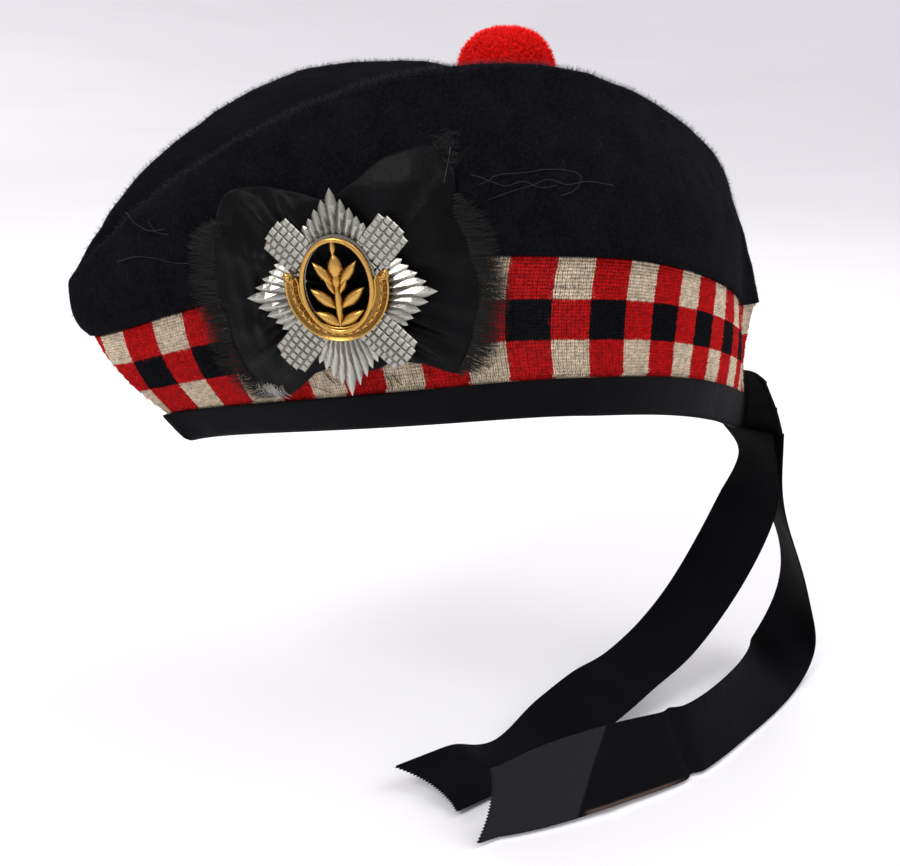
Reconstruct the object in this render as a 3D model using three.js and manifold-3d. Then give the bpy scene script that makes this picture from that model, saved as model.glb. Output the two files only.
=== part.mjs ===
// Glengarry with diced band, toorie, rosette, badge and two ribbon tails.
// Millimetres, +Z up, front (bow) towards -Y, wearer's left towards +X.
// The origin is the centre of the head opening, level with the ends of the rim.
import * as THREE from "three";
import Module from "manifold-3d";

const wasm = await Module();
wasm.setup();

// Hat body
const HALF_LENGTH = 103.5;   // rim, centre to front or back end
const HALF_WIDTH = 76;       // rim, centre to side
const RIDGE_HEIGHT = 124;    // rim ends up to the top of the ridges
const RIDGE_HALF = 62;       // centre line to a ridge where they stand furthest apart
const CREASE_DEPTH = 17;     // ridge top down to the bottom of the crease
const FELT = 2.5;            // crown wall
const BAND_WALL = 2.6;       // knitted diced band
const BAND_PUFF = 1.3;       // band's bulge between its edges
const RIBBON = 1.0;          // ribbon in the binding, fold and tails
const GAP = 0.3;             // left between neighbouring pieces
const LIP = 1.2;             // crown overhang above the band
const SHOULDER_OUT = 4.5;    // wall just under a ridge, out from it
const SHOULDER_DROP = 6.5;   // and down from it
const TURN_IN = 1.1;         // how far the folded edge is drawn in under the band
const FIN_REACH = 6;         // how far the pinched back seam spreads
const HALF_STEPS = 28;       // columns from bow to back on one side

// Toorie
const TOORIE_RADIUS = 14.9;
const TOORIE_SQUASH = 0.92;  // height over width of the clipped wool ball
const TOORIE_ALONG = 0.625;   // place along the crease, from nose to back seam
const LOCK_LENGTH = 1.5;
const LOCK_WIDTH = 4.6;
const LOCK_COUNT = 44;

// Rosette
const ROSETTE_REACH = 50;    // badge centre to the furthest lobe edge
const ROSETTE_SEAT = 0.5;    // clearance over the wall
const ROSETTE_EDGE = 1.2;    // thickness at the lobe edges
const ROSETTE_PUFF = 2.8;    // extra thickness in the middle of a lobe
const PAD_INNER = 13;        // flat pad behind the badge, radius
const PAD_OUTER = 21;        // where the pad has run out into the pleats
const BADGE_REACH = 32;      // ribbon kept behind the badge out to here
const FRAY_LENGTH = 6.5;
const FRAY_WIDTH = 1.7;

// Badge
const BADGE_TURN = 60;       // heading of its face, degrees from the bow
const BADGE_TILT = -4;       // face turned up, degrees
const BADGE_LEAN = 5;        // turned in its own plane, degrees
const BADGE_SEAT = 6.5;      // back of the badge, out from the wall behind its centre
const STAR_HALF_HEIGHT = 28.6;
const STAR_HALF_WIDTH = 26.6;
const STAR_EDGE = 0.7;
const STAR_RISE = 1.8;
const OVAL_HALF_WIDTH = 9.8; // middle line of the gilt ring
const OVAL_HALF_HEIGHT = 12.6;
const RING_WIRE = 1.1;

// Tails
const TAIL_WIDTH = 25;
const TAIL_DROP = 105;       // rim ends down to the surface that the tails reach
const TOOTH = 2.0;           // pinked end
const TAIL_STEPS = 24;
const FOLD_WIDTH = 25;       // folded ribbon over the back seam
const FOLD_THICK = 2.0;

// Closed outlines of the hat at four levels, near half, from bow to back.
// front, back: shares of HALF_LENGTH. half: share of HALF_WIDTH.
// front_z, mid_z, back_z: shares of RIDGE_HEIGHT. fin: share of FIN_REACH.
// bow and stern powers shape the wedge at the front and the rounder back.
const LEVELS = {
  rim: { front: -0.975, back: 0.958, half: 0.992, widest: 0.52, fin: 0.75,
    bow: 2.67, bow_root: 0.8, stern: 1.52, stern_root: 1.3,
    front_z: 0.048, mid_z: 0.217, back_z: -0.045 },
  foot: { front: -1.045, back: 0.96, half: 1.018, widest: 0.52, fin: 0.7,
    bow: 2.67, bow_root: 0.8, stern: 1.52, stern_root: 1.3,
    front_z: 0.122, mid_z: 0.314, back_z: 0.062 },
  head: { front: -1.25, back: 0.885, half: 1.139, widest: 0.53, fin: 2.3,
    bow: 1.22, bow_root: 1.47, stern: 1.74, stern_root: 1.48,
    front_z: 0.338, mid_z: 0.605, back_z: 0.331 },
};

// Ridge and crease from nose to back seam.
// along: share of the way. half: share of RIDGE_HALF. top: share of RIDGE_HEIGHT.
// crease: share of CREASE_DEPTH. bulge: fullness of the wall below, share of the wall.
const NOSE = -1.31;          // share of HALF_LENGTH
const SEAM = 0.85;
const CROWN = [
  { along: 0.00, half: 0.00, top: 0.490, crease: 0.10, bulge: 0.06 },
  { along: 0.06, half: 0.21, top: 0.620, crease: 0.30, bulge: 0.10 },
  { along: 0.13, half: 0.45, top: 0.740, crease: 0.50, bulge: 0.10 },
  { along: 0.25, half: 0.74, top: 0.880, crease: 0.75, bulge: 0.10 },
  { along: 0.40, half: 0.94, top: 0.976, crease: 0.95, bulge: 0.12 },
  { along: 0.55, half: 1.00, top: 1.000, crease: 1.00, bulge: 0.12 },
  { along: 0.70, half: 0.85, top: 0.952, crease: 1.00, bulge: 0.11 },
  { along: 0.85, half: 0.56, top: 0.836, crease: 0.80, bulge: 0.08 },
  { along: 0.94, half: 0.28, top: 0.750, crease: 0.50, bulge: 0.06 },
  { along: 1.00, half: 0.00, top: 0.690, crease: 0.15, bulge: 0.03 },
];

const vec = (x, y, z) => new THREE.Vector3(x, y, z);
const lerp = (a, b, s) => a + (b - a) * s;

// Value of one column of a table at a place along it, on a smooth monotone curve.
function column(table, key, at) {
  const p = table.map((row) => [row.along, row[key]]);
  let i = 0;
  while (i < p.length - 2 && at > p[i + 1][0]) i += 1;
  const slope = (j) => (p[j + 1][1] - p[j][1]) / (p[j + 1][0] - p[j][0]);
  const tangent = (j) => {
    if (j === 0) return slope(0);
    if (j === p.length - 1) return slope(j - 1);
    const a = slope(j - 1);
    const b = slope(j);
    return a * b <= 0 ? 0 : (2 * a * b) / (a + b);
  };
  const w = p[i + 1][0] - p[i][0];
  const s = THREE.MathUtils.clamp((at - p[i][0]) / w, 0, 1);
  const h00 = (1 + 2 * s) * (1 - s) * (1 - s);
  const h10 = s * (1 - s) * (1 - s);
  const h01 = s * s * (3 - 2 * s);
  const h11 = s * s * (s - 1);
  return h00 * p[i][1] + h10 * w * tangent(i) + h01 * p[i + 1][1] + h11 * w * tangent(i + 1);
}

// Share of the full width at a share t of the length.
function fullness(level, t) {
  const w = level.widest;
  const s = t < w ? 1 - t / w : (t - w) / (1 - w);
  const power = t < w ? level.bow : level.stern;
  const root = t < w ? level.bow_root : level.stern_root;
  return Math.max(0, 1 - s ** power) ** (1 / root);
}

// Columns are closer together at the bow and at the back.
const shareOf = (i) => (1 - Math.cos((Math.PI * i) / HALF_STEPS)) / 2;

function outlinePoint(level, i) {
  const t = shareOf(i);
  const x = i % HALF_STEPS === 0 ? 0 : HALF_WIDTH * level.half * fullness(level, t);
  const fin = t > 0.5 ? level.fin * FIN_REACH * Math.exp(-x / FIN_REACH) : 0;
  const y = HALF_LENGTH * lerp(level.front, level.back, t) + fin;
  const z = RIDGE_HEIGHT * (level.front_z * (1 - t) * (1 - 2 * t)
    + level.mid_z * 4 * t * (1 - t) + level.back_z * t * (2 * t - 1));
  return vec(x, y, z);
}

// A whole ring from the near half: bow, left side, back, right side.
function ring(half) {
  const out = half.map((p) => p.clone());
  for (let i = half.length - 2; i > 0; i -= 1) {
    out.push(vec(-half[i].x, half[i].y, half[i].z));
  }
  return out;
}

const halfRing = (f) => Array.from({ length: HALF_STEPS + 1 }, (_, i) => f(i));
const levelRing = (level) => ring(halfRing((i) => outlinePoint(level, i)));

// Level outward directions of a ring, longer where it turns so that walls keep their thickness.
function outward(points) {
  const n = points.length;
  return points.map((p, i) => {
    const a = p.clone().sub(points[(i + n - 1) % n]).setZ(0).normalize();
    const b = points[(i + 1) % n].clone().sub(p).setZ(0).normalize();
    const na = vec(a.y, -a.x, 0);
    const nb = vec(b.y, -b.x, 0);
    const m = na.clone().add(nb).normalize();
    return m.multiplyScalar(Math.min(1 / Math.max(m.dot(na), 0.3), 1.5));
  });
}

// Near the bow and the back an inner ring meets itself on the middle plane: what lies past
// that plane is drawn back to the corner.
function cornered(points) {
  const n = points.length;
  const out = points.map((p) => p.clone());
  for (const [start, way] of [[0, 1], [HALF_STEPS, -1]]) {
    let k = 0;
    while (k < HALF_STEPS / 2 && points[start + way * (k + 1)].x < -1e-4) k += 1;
    if (k === 0) continue;
    const a = points[start + way * k];
    const b = points[start + way * (k + 1)];
    const corner = a.clone().lerp(b, a.x / (a.x - b.x)).setX(0);
    for (let j = 0; j <= k; j += 1) {
      out[start + way * j].copy(corner);
      out[(n + start - way * j) % n].copy(corner);
    }
  }
  return out;
}

// Closed solid with its faces outwards from a list of triangles, points that coincide joined.
function solid(triangles) {
  const index = new Map();
  const xyz = [];
  const faces = [];
  const id = (p) => {
    const key = `${Math.round(p.x * 2e3)},${Math.round(p.y * 2e3)},${Math.round(p.z * 2e3)}`;
    if (!index.has(key)) {
      index.set(key, xyz.length / 3);
      xyz.push(p.x, p.y, p.z);
    }
    return index.get(key);
  };
  for (const [a, b, c] of triangles) {
    const f = [id(a), id(b), id(c)];
    if (f[0] !== f[1] && f[1] !== f[2] && f[2] !== f[0]) faces.push(...f);
  }
  const build = (list) => new wasm.Manifold(new wasm.Mesh({
    numProp: 3,
    vertProperties: new Float32Array(xyz),
    triVerts: new Uint32Array(list),
  }));
  const body = build(faces);
  if (body.volume() > 0) return body;
  const turned = [];
  for (let i = 0; i < faces.length; i += 3) turned.push(faces[i], faces[i + 2], faces[i + 1]);
  return build(turned);
}

function geometry(body) {
  const m = body.getMesh();
  const flat = new Float32Array(m.numVert * 3);
  for (let i = 0; i < m.numVert; i += 1) {
    for (let k = 0; k < 3; k += 1) flat[3 * i + k] = m.vertProperties[m.numProp * i + k];
  }
  const g = new THREE.BufferGeometry();
  g.setAttribute("position", new THREE.BufferAttribute(flat, 3));
  g.setIndex(new THREE.BufferAttribute(new Uint32Array(m.triVerts), 1));
  g.computeVertexNormals();
  return g;
}

function quads(rows, wrapRows, wrapColumns) {
  const out = [];
  const lastRow = wrapRows ? rows.length : rows.length - 1;
  for (let r = 0; r < lastRow; r += 1) {
    const a = rows[r];
    const b = rows[(r + 1) % rows.length];
    const lastColumn = wrapColumns ? a.length : a.length - 1;
    for (let c = 0; c < lastColumn; c += 1) {
      const d = (c + 1) % a.length;
      out.push([a[c], a[d], b[d]], [a[c], b[d], b[c]]);
    }
  }
  return out;
}

// Unit directions square to a grid of points that wraps round its columns.
function squareTo(rows) {
  const sum = new Map();
  const key = (p) => `${Math.round(p.x * 2e3)},${Math.round(p.y * 2e3)},${Math.round(p.z * 2e3)}`;
  for (const [a, b, c] of quads(rows, false, true)) {
    const n = b.clone().sub(a).cross(c.clone().sub(a));
    for (const p of [a, b, c]) {
      const k = key(p);
      if (!sum.has(k)) sum.set(k, vec(0, 0, 0));
      sum.get(k).add(n);
    }
  }
  return rows.map((row) => row.map((p) => sum.get(key(p)).clone().normalize()));
}

function mesh(name, body, colour, roughness, metalness) {
  const material = new THREE.MeshStandardMaterial({ color: colour, roughness, metalness });
  const m = new THREE.Mesh(geometry(body), material);
  m.name = name;
  return m;
}

const RIM = levelRing(LEVELS.rim);
const FOOT = levelRing(LEVELS.foot);
const HEAD = levelRing(LEVELS.head);
const HEAD_OUT = outward(HEAD);
const FOOT_OUT = outward(FOOT);
const RIM_OUT = outward(RIM);

// Crown wall: head of the band, belly, shoulder, ridge, inner slope, crease.
function crownColumn(i) {
  const t = shareOf(i);
  const end = i % HALF_STEPS === 0;
  const out = HEAD_OUT[i].clone().normalize();
  const scale = Math.min(1, 0.25 + column(CROWN, "half", t));
  const top = vec(end ? 0 : RIDGE_HALF * column(CROWN, "half", t),
    HALF_LENGTH * lerp(NOSE, SEAM, t), RIDGE_HEIGHT * column(CROWN, "top", t));
  const depth = CREASE_DEPTH * column(CROWN, "crease", t);
  const crease = vec(0, lerp(top.y, 0, 0.03), top.z - depth);
  const foot = HEAD[i].clone().addScaledVector(out, LIP).setZ(HEAD[i].z + GAP);
  const shoulder = top.clone().addScaledVector(out, SHOULDER_OUT * scale);
  shoulder.z -= SHOULDER_DROP * scale;
  const wall = shoulder.distanceTo(foot);
  const belly = foot.clone().lerp(shoulder, 0.5);
  belly.addScaledVector(out, wall * column(CROWN, "bulge", t));
  const inward = crease.clone().sub(top);
  const inner = top.clone().addScaledVector(inward, 0.16);
  inner.z += depth * 0.05;
  const valley = crease.clone().addScaledVector(inward, -0.25);
  valley.z -= depth * 0.04;
  const curve = new THREE.CatmullRomCurve3([foot, belly, shoulder, top, inner, valley, crease],
    false, "centripetal");
  const steps = [0, 0.08, 0.16, 0.26, 0.34, 0.4, 0.45, 0.5, 0.55, 0.62, 0.8, 1];
  const points = steps.map((s) => curve.getPoint(s));
  if (end) points.forEach((p) => p.setX(0));
  return points;
}

function crown() {
  const columns = halfRing(crownColumn);
  const rows = columns[0].map((_, r) => ring(columns.map((c) => c[r])));
  const normals = squareTo(rows);
  const inside = rows.map((row, r) => cornered(row.map((p, c) => {
    if (r === 0) return p.clone().addScaledVector(HEAD_OUT[c], -FELT);
    return p.clone().addScaledVector(normals[r][c], -FELT);
  })));
  const around = [...rows.slice().reverse(), ...inside];
  const skin = quads(around.map((r) => r.slice().reverse()), false, true);
  return solid(skin);
}

const along = (a, b, s) => a.map((p, i) => p.clone().lerp(b[i], s));
const push = (points, directions, d) => cornered(points.map((p, i) =>
  p.clone().addScaledVector(directions[i], d)));

function band() {
  const low = along(RIM, FOOT, 0.15);
  const halfway = along(FOOT, HEAD, 0.5);
  const halfwayOut = outward(halfway);
  const middle = push(halfway, halfwayOut, BAND_PUFF);
  const outer = [low, FOOT, middle, HEAD];
  const turns = [RIM_OUT, FOOT_OUT, halfwayOut, HEAD_OUT];
  const inner = outer.map((r, k) => push(r, turns[k], -BAND_WALL)).reverse();
  return solid(quads([...outer, ...inner], true, true));
}

// Ribbon folded over the lower edge: an outer ply, a rounded turn and an inner ply.
function binding() {
  const out = GAP + RIBBON;
  const back = -(BAND_WALL + GAP);
  const section = [
    [back - RIBBON + TURN_IN, 0], [back - RIBBON, 0.07], [back - RIBBON, 1], [back, 1], [back, 0.12],
    [GAP, 0.12], [GAP, 1], [out, 1], [out, 0.07], [0.5, 0],
  ];
  const rows = section.map(([n, h]) => push(along(RIM, FOOT, h), h < 0.5 ? RIM_OUT : FOOT_OUT, n));
  return solid(quads(rows, true, true));
}

// The badge's own frame: s runs back along the hat, h up, w out of the badge's face.
const TURN = THREE.MathUtils.degToRad(BADGE_TURN);
const TILT = THREE.MathUtils.degToRad(BADGE_TILT);
const FACE_OUT = vec(Math.sin(TURN) * Math.cos(TILT), -Math.cos(TURN) * Math.cos(TILT),
  Math.sin(TILT));
const FACE_BACK = vec(Math.cos(TURN), Math.sin(TURN), 0);
const FACE_UP = FACE_OUT.clone().cross(FACE_BACK);
const BADGE_AT = vec(0.816 * HALF_WIDTH, -0.628 * HALF_LENGTH, 0.52 * RIDGE_HEIGHT);

const face = (s, h, w) => BADGE_AT.clone().addScaledVector(FACE_BACK, s)
  .addScaledVector(FACE_UP, h).addScaledVector(FACE_OUT, w);

// How far the hat's wall stands out at a place behind the badge, the highest within reach.
function wallHeights(meshes) {
  const pitch = ROSETTE_REACH / 20;
  const reach = 23;
  const caster = new THREE.Raycaster();
  const inward = FACE_OUT.clone().negate();
  const found = new Map();
  const raw = (i, j) => {
    const key = `${i},${j}`;
    if (!found.has(key)) {
      caster.set(face(i * pitch, j * pitch, ROSETTE_REACH), inward);
      const hit = caster.intersectObjects(meshes, false)[0];
      found.set(key, hit ? ROSETTE_REACH - hit.distance : -0.8 * ROSETTE_REACH);
    }
    return found.get(key);
  };
  const level = [];
  for (let i = -reach; i <= reach; i += 1) {
    for (let j = -reach; j <= reach; j += 1) {
      let high = raw(i, j);
      for (const [a, b] of [[1, 0], [-1, 0], [0, 1], [0, -1]]) {
        high = Math.max(high, raw(i + a, j + b));
      }
      level.push(high);
    }
  }
  const side = 2 * reach + 1;
  return (s, h) => {
    const u = THREE.MathUtils.clamp(s / pitch + reach, 0, side - 1.001);
    const v = THREE.MathUtils.clamp(h / pitch + reach, 0, side - 1.001);
    const i = Math.floor(u);
    const j = Math.floor(v);
    const at = (a, b) => level[a * side + b];
    return lerp(lerp(at(i, j), at(i + 1, j), u - i),
      lerp(at(i, j + 1), at(i + 1, j + 1), u - i), v - j);
  };
}

// Rosette outline round the badge centre. turn: degrees from the back, up positive.
// reach: share of ROSETTE_REACH. fold: fullness of the ribbon there. fray: share of FRAY_LENGTH.
const ROSETTE = [
  { turn: 0, reach: 0.78, fold: 0.9, fray: 1.0 },
  { turn: 18, reach: 0.76, fold: 0.6, fray: 1.0 },
  { turn: 36, reach: 0.78, fold: 1.0, fray: 0.8 },
  { turn: 50, reach: 0.89, fold: 0.8, fray: 0.8 },
  { turn: 59, reach: 0.90, fold: 0.9, fray: 0.0 },
  { turn: 70, reach: 0.79, fold: 0.6, fray: 0.0 },
  { turn: 85, reach: 0.58, fold: 0.3, fray: 0.0 },
  { turn: 101, reach: 0.50, fold: 0.3, fray: 0.0 },
  { turn: 116, reach: 0.59, fold: 0.7, fray: 0.0 },
  { turn: 132, reach: 0.73, fold: 0.9, fray: 0.0 },
  { turn: 145, reach: 0.84, fold: 0.8, fray: 0.0 },
  { turn: 158, reach: 0.80, fold: 1.0, fray: 0.9 },
  { turn: 180, reach: 0.80, fold: 0.6, fray: 1.0 },
  { turn: 200, reach: 0.82, fold: 0.9, fray: 1.0 },
  { turn: 217, reach: 0.88, fold: 0.7, fray: 0.9 },
  { turn: 229, reach: 0.92, fold: 0.5, fray: 0.7 },
  { turn: 238, reach: 0.82, fold: 0.4, fray: 0.0 },
  { turn: 248, reach: 0.55, fold: 0.3, fray: 0.0 },
  { turn: 262, reach: 0.46, fold: 0.1, fray: 0.0 },
  { turn: 281, reach: 0.48, fold: 0.1, fray: 0.0 },
  { turn: 302, reach: 0.47, fold: 0.2, fray: 0.0 },
  { turn: 316, reach: 0.57, fold: 0.4, fray: 0.0 },
  { turn: 325, reach: 0.79, fold: 0.6, fray: 0.7 },
  { turn: 334, reach: 0.79, fold: 0.9, fray: 1.0 },
  { turn: 360, reach: 0.78, fold: 0.9, fray: 1.0 },
].map((row) => ({ ...row, along: row.turn / 360 }));

function rosette(wall) {
  const spokes = 48;
  const rings = [0.22, 0.42, 0.58, 0.74, 0.89, 1];
  const radians = (c) => (2 * Math.PI * c) / spokes;
  const at = (r, c, top) => {
    const round = c / spokes;
    const d = r * ROSETTE_REACH * column(ROSETTE, "reach", round);
    const s = d * Math.cos(radians(c));
    const h = d * Math.sin(radians(c));
    const seat = wall(s, h) + ROSETTE_SEAT;
    if (!top) return face(s, h, seat);
    const fold = column(ROSETTE, "fold", round);
    const pleat = 0.75 + 0.25 * Math.cos(radians(c) * 15);
    const puff = ROSETTE_PUFF * fold * pleat * Math.sin(Math.PI * Math.min(1, r ** 1.4));
    let w = seat + ROSETTE_EDGE + puff;
    const pad = BADGE_SEAT - GAP;
    const fade = THREE.MathUtils.smoothstep(d, PAD_INNER, PAD_OUTER);
    w = lerp(Math.max(w, pad), w, fade);
    if (d < BADGE_REACH) w = Math.min(w, pad);
    return face(s, h, Math.max(w, seat + 0.8));
  };
  const circle = (r, top) => Array.from({ length: spokes }, (_, c) => at(r, c, top));
  const centre = (top) => Array.from({ length: spokes }, () => at(0, 0, top));
  const rows = [centre(false), ...rings.map((r) => circle(r, false)),
    ...rings.slice().reverse().map((r) => circle(r, true)), centre(true)];
  let body = solid(quads(rows.map((r) => r.slice().reverse()), false, true));
  // Frayed threads along the cut ends of the ribbon, as tapered strips.
  const strips = 66;
  for (let k = 0; k < strips; k += 1) {
    const round = (k + 0.5) / strips;
    const share = column(ROSETTE, "fray", round);
    if (share < 0.3) continue;
    const turn = 2 * Math.PI * round;
    const reach = ROSETTE_REACH * column(ROSETTE, "reach", round);
    const length = FRAY_LENGTH * share * (0.8 + 0.2 * Math.cos(k * 2.4));
    const sag = 0.22 * Math.cos(k * 1.7) - 0.12;
    const section = (d, half) => [[-half, 0], [half, 0], [half, 0.8], [-half, 0.8]]
      .map(([side, up]) => {
        const bend = turn + (sag * Math.max(0, d - reach)) / reach;
        const s = d * Math.cos(bend) - side * Math.sin(bend);
        const h = d * Math.sin(bend) + side * Math.cos(bend);
        return face(s, h, wall(s, h) + ROSETTE_SEAT + 0.1 + up);
      });
    const a = section(reach - 2, FRAY_WIDTH / 2);
    const b = section(reach + length, FRAY_WIDTH * 0.2);
    body = body.add(solid([...quads([a, b], false, true),
      [a[0], a[2], a[1]], [a[0], a[3], a[2]], [b[0], b[1], b[2]], [b[0], b[2], b[3]]]));
  }
  return body;
}

// Rays of the silver star: shares of its half height, in a group of five.
const RAYS = [
  { ray: -2, main: 0.73, minor: 0.68 },
  { ray: -1, main: 0.87, minor: 0.77 },
  { ray: 0, main: 1.0, minor: 0.84 },
  { ray: 1, main: 0.87, minor: 0.77 },
  { ray: 2, main: 0.73, minor: 0.68 },
];

const leaning = (s, h, w) => {
  const a = THREE.MathUtils.degToRad(BADGE_LEAN);
  return face(s * Math.cos(a) - h * Math.sin(a), s * Math.sin(a) + h * Math.cos(a), w);
};

function star() {
  const tips = [];
  for (let group = 0; group < 8; group += 1) {
    for (const row of RAYS) tips.push(group % 2 === 0 ? row.main : row.minor);
  }
  const n = tips.length * 2;
  const aspect = STAR_HALF_WIDTH / STAR_HALF_HEIGHT;
  const row = (f) => Array.from({ length: n }, (_, j) => {
    const turn = ((j / 2 - 2) / tips.length) * 2 * Math.PI;
    const ridge = j % 2 === 0;
    const tip = ridge ? tips[j / 2]
      : 0.8 * Math.min(tips[(j - 1) / 2], tips[((j + 1) / 2) % tips.length]);
    const [share, w, oval] = f(ridge);
    const across = oval ? OVAL_HALF_WIDTH * oval : STAR_HALF_HEIGHT * tip * share * aspect;
    const up = oval ? OVAL_HALF_HEIGHT * oval : STAR_HALF_HEIGHT * tip * share;
    return leaning(across * Math.cos(turn), up * Math.sin(turn), BADGE_SEAT + w);
  });
  const full = STAR_EDGE + STAR_RISE;
  const rows = [
    row(() => [0, 0, 0.9]),
    row(() => [0, full, 0.9]),
    row((ridge) => [0, ridge ? full : full - 0.5, 1.18]),
    row((ridge) => [0.75, ridge ? STAR_EDGE + 0.55 * STAR_RISE : STAR_EDGE * 0.9, 0]),
    row((ridge) => [1, ridge ? STAR_EDGE : STAR_EDGE * 0.7, 0]),
    row(() => [1, 0, 0]),
  ];
  return solid(quads(rows.map((r) => r.slice().reverse()), true, true));
}

// Pieces of the gilt centre: small leaves, buds and a stem joined to an oval ring.
// across and up: shares of the oval's half width and half height. turn: degrees.
// long and wide: shares of the oval's half height.
const ORNAMENT = [
  { across: 0, up: -0.35, turn: 90, long: 0.62, wide: 0.09 },
  { across: 0, up: 0.42, turn: 90, long: 0.30, wide: 0.17 },
  { across: 0, up: 0.84, turn: 90, long: 0.22, wide: 0.07 },
  { across: -0.36, up: 0.28, turn: 128, long: 0.34, wide: 0.12 },
  { across: 0.36, up: 0.28, turn: 52, long: 0.34, wide: 0.12 },
  { across: -0.42, up: -0.26, turn: 140, long: 0.36, wide: 0.14 },
  { across: 0.42, up: -0.26, turn: 40, long: 0.36, wide: 0.14 },
  { across: -0.34, up: -0.70, turn: 150, long: 0.34, wide: 0.13 },
  { across: 0.34, up: -0.70, turn: 30, long: 0.34, wide: 0.13 },
];
const SWAG_LEAVES = 13;      // along the lower half of the ring
const SWAG_FROM = 176;       // degrees, round the bottom
const SWAG_TO = 370;

function leaf(s, h, w, turn, long, wide, thick) {
  const ball = new THREE.SphereGeometry(1, 6, 4);
  const a = THREE.MathUtils.degToRad(turn);
  const p = ball.attributes.position;
  const points = Array.from({ length: p.count }, (_, i) => {
    const u = p.getY(i) * long;
    const v = p.getX(i) * wide;
    return leaning(s + u * Math.cos(a) - v * Math.sin(a), h + u * Math.sin(a) + v * Math.cos(a),
      w + p.getZ(i) * thick);
  });
  const index = ball.index.array;
  const triangles = [];
  for (let i = 0; i < index.length; i += 3) {
    triangles.push([points[index[i]], points[index[i + 2]], points[index[i + 1]]]);
  }
  return solid(triangles);
}

function badgeCentre() {
  const w = BADGE_SEAT + STAR_EDGE + STAR_RISE + GAP + RING_WIRE * 0.8;
  const around = 28;
  const wire = Array.from({ length: 5 }, (_, k) => {
    const a = (2 * Math.PI * k) / 5;
    return Array.from({ length: around }, (_, j) => {
      const t = (2 * Math.PI * j) / around;
      const side = RING_WIRE * Math.cos(a);
      return leaning((OVAL_HALF_WIDTH + side) * Math.cos(t), (OVAL_HALF_HEIGHT + side) * Math.sin(t),
        w + RING_WIRE * 0.8 * Math.sin(a));
    });
  });
  let body = solid(quads(wire, true, true));
  for (const row of ORNAMENT) {
    body = body.add(leaf(OVAL_HALF_WIDTH * row.across, OVAL_HALF_HEIGHT * row.up, w, row.turn,
      OVAL_HALF_HEIGHT * row.long, OVAL_HALF_HEIGHT * row.wide, 0.8));
  }
  for (let k = 0; k < SWAG_LEAVES; k += 1) {
    const turn = lerp(SWAG_FROM, SWAG_TO, k / (SWAG_LEAVES - 1));
    const a = THREE.MathUtils.degToRad(turn);
    const low = Math.sin(a) < 0 ? 1 : 0.4;
    const s = (OVAL_HALF_WIDTH + 2.6 + 1.2 * Math.abs(Math.cos(a))) * Math.cos(a);
    const h = (OVAL_HALF_HEIGHT + 2.4 * low) * Math.sin(a);
    const flip = turn < 273 ? -24 : 24;
    body = body.add(leaf(s, h, w + 0.1, turn + 90 + flip, 2.9, 1.45, 0.7));
  }
  return body;
}

// Wool ball seated in the crease: a core with blunt locks joined over it.
function toorie() {
  const at = TOORIE_ALONG;
  const top = RIDGE_HEIGHT * column(CROWN, "top", at);
  const half = RIDGE_HALF * column(CROWN, "half", at);
  const depth = CREASE_DEPTH * column(CROWN, "crease", at);
  const slope = Math.atan2(depth, half);
  const wide = TOORIE_RADIUS + 0.4 * LOCK_LENGTH;
  const tall = wide * TOORIE_SQUASH;
  const rest = Math.hypot(wide * Math.sin(slope), tall * Math.cos(slope)) + GAP + 0.8;
  const centre = vec(0, HALF_LENGTH * lerp(NOSE, SEAM, at), top - depth + rest / Math.cos(slope));
  const place = (p) => vec(p.x, p.y, p.z * TOORIE_SQUASH).add(centre);
  const core = new THREE.IcosahedronGeometry(TOORIE_RADIUS, 3).attributes.position;
  const triangles = [];
  for (let i = 0; i < core.count; i += 3) {
    triangles.push([0, 1, 2].map((k) => place(vec().fromBufferAttribute(core, i + k))));
  }
  let body = solid(triangles);
  const golden = Math.PI * (3 - Math.sqrt(5));
  for (let k = 0; k < LOCK_COUNT; k += 1) {
    const z = 1 - (2 * (k + 0.5)) / LOCK_COUNT;
    const flat = Math.sqrt(1 - z * z);
    const out = vec(flat * Math.cos(golden * k), flat * Math.sin(golden * k), z);
    const side = vec(-out.y, out.x, 0).normalize();
    const up = out.clone().cross(side);
    const section = (d, r) => Array.from({ length: 4 }, (_, j) => {
      const a = (Math.PI * j) / 2 + k;
      return place(out.clone().multiplyScalar(d).addScaledVector(side, r * Math.cos(a))
        .addScaledVector(up, r * Math.sin(a)));
    });
    const a = section(TOORIE_RADIUS - 1.6, LOCK_WIDTH / 2);
    const b = section(TOORIE_RADIUS + LOCK_LENGTH * (0.85 + 0.15 * Math.cos(3 * k)),
      LOCK_WIDTH * 0.3);
    const ends = [];
    for (let j = 1; j < 3; j += 1) ends.push([a[0], a[j + 1], a[j]], [b[0], b[j], b[j + 1]]);
    body = body.add(solid([...quads([a, b], false, true), ...ends]));
  }
  return body;
}

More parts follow.
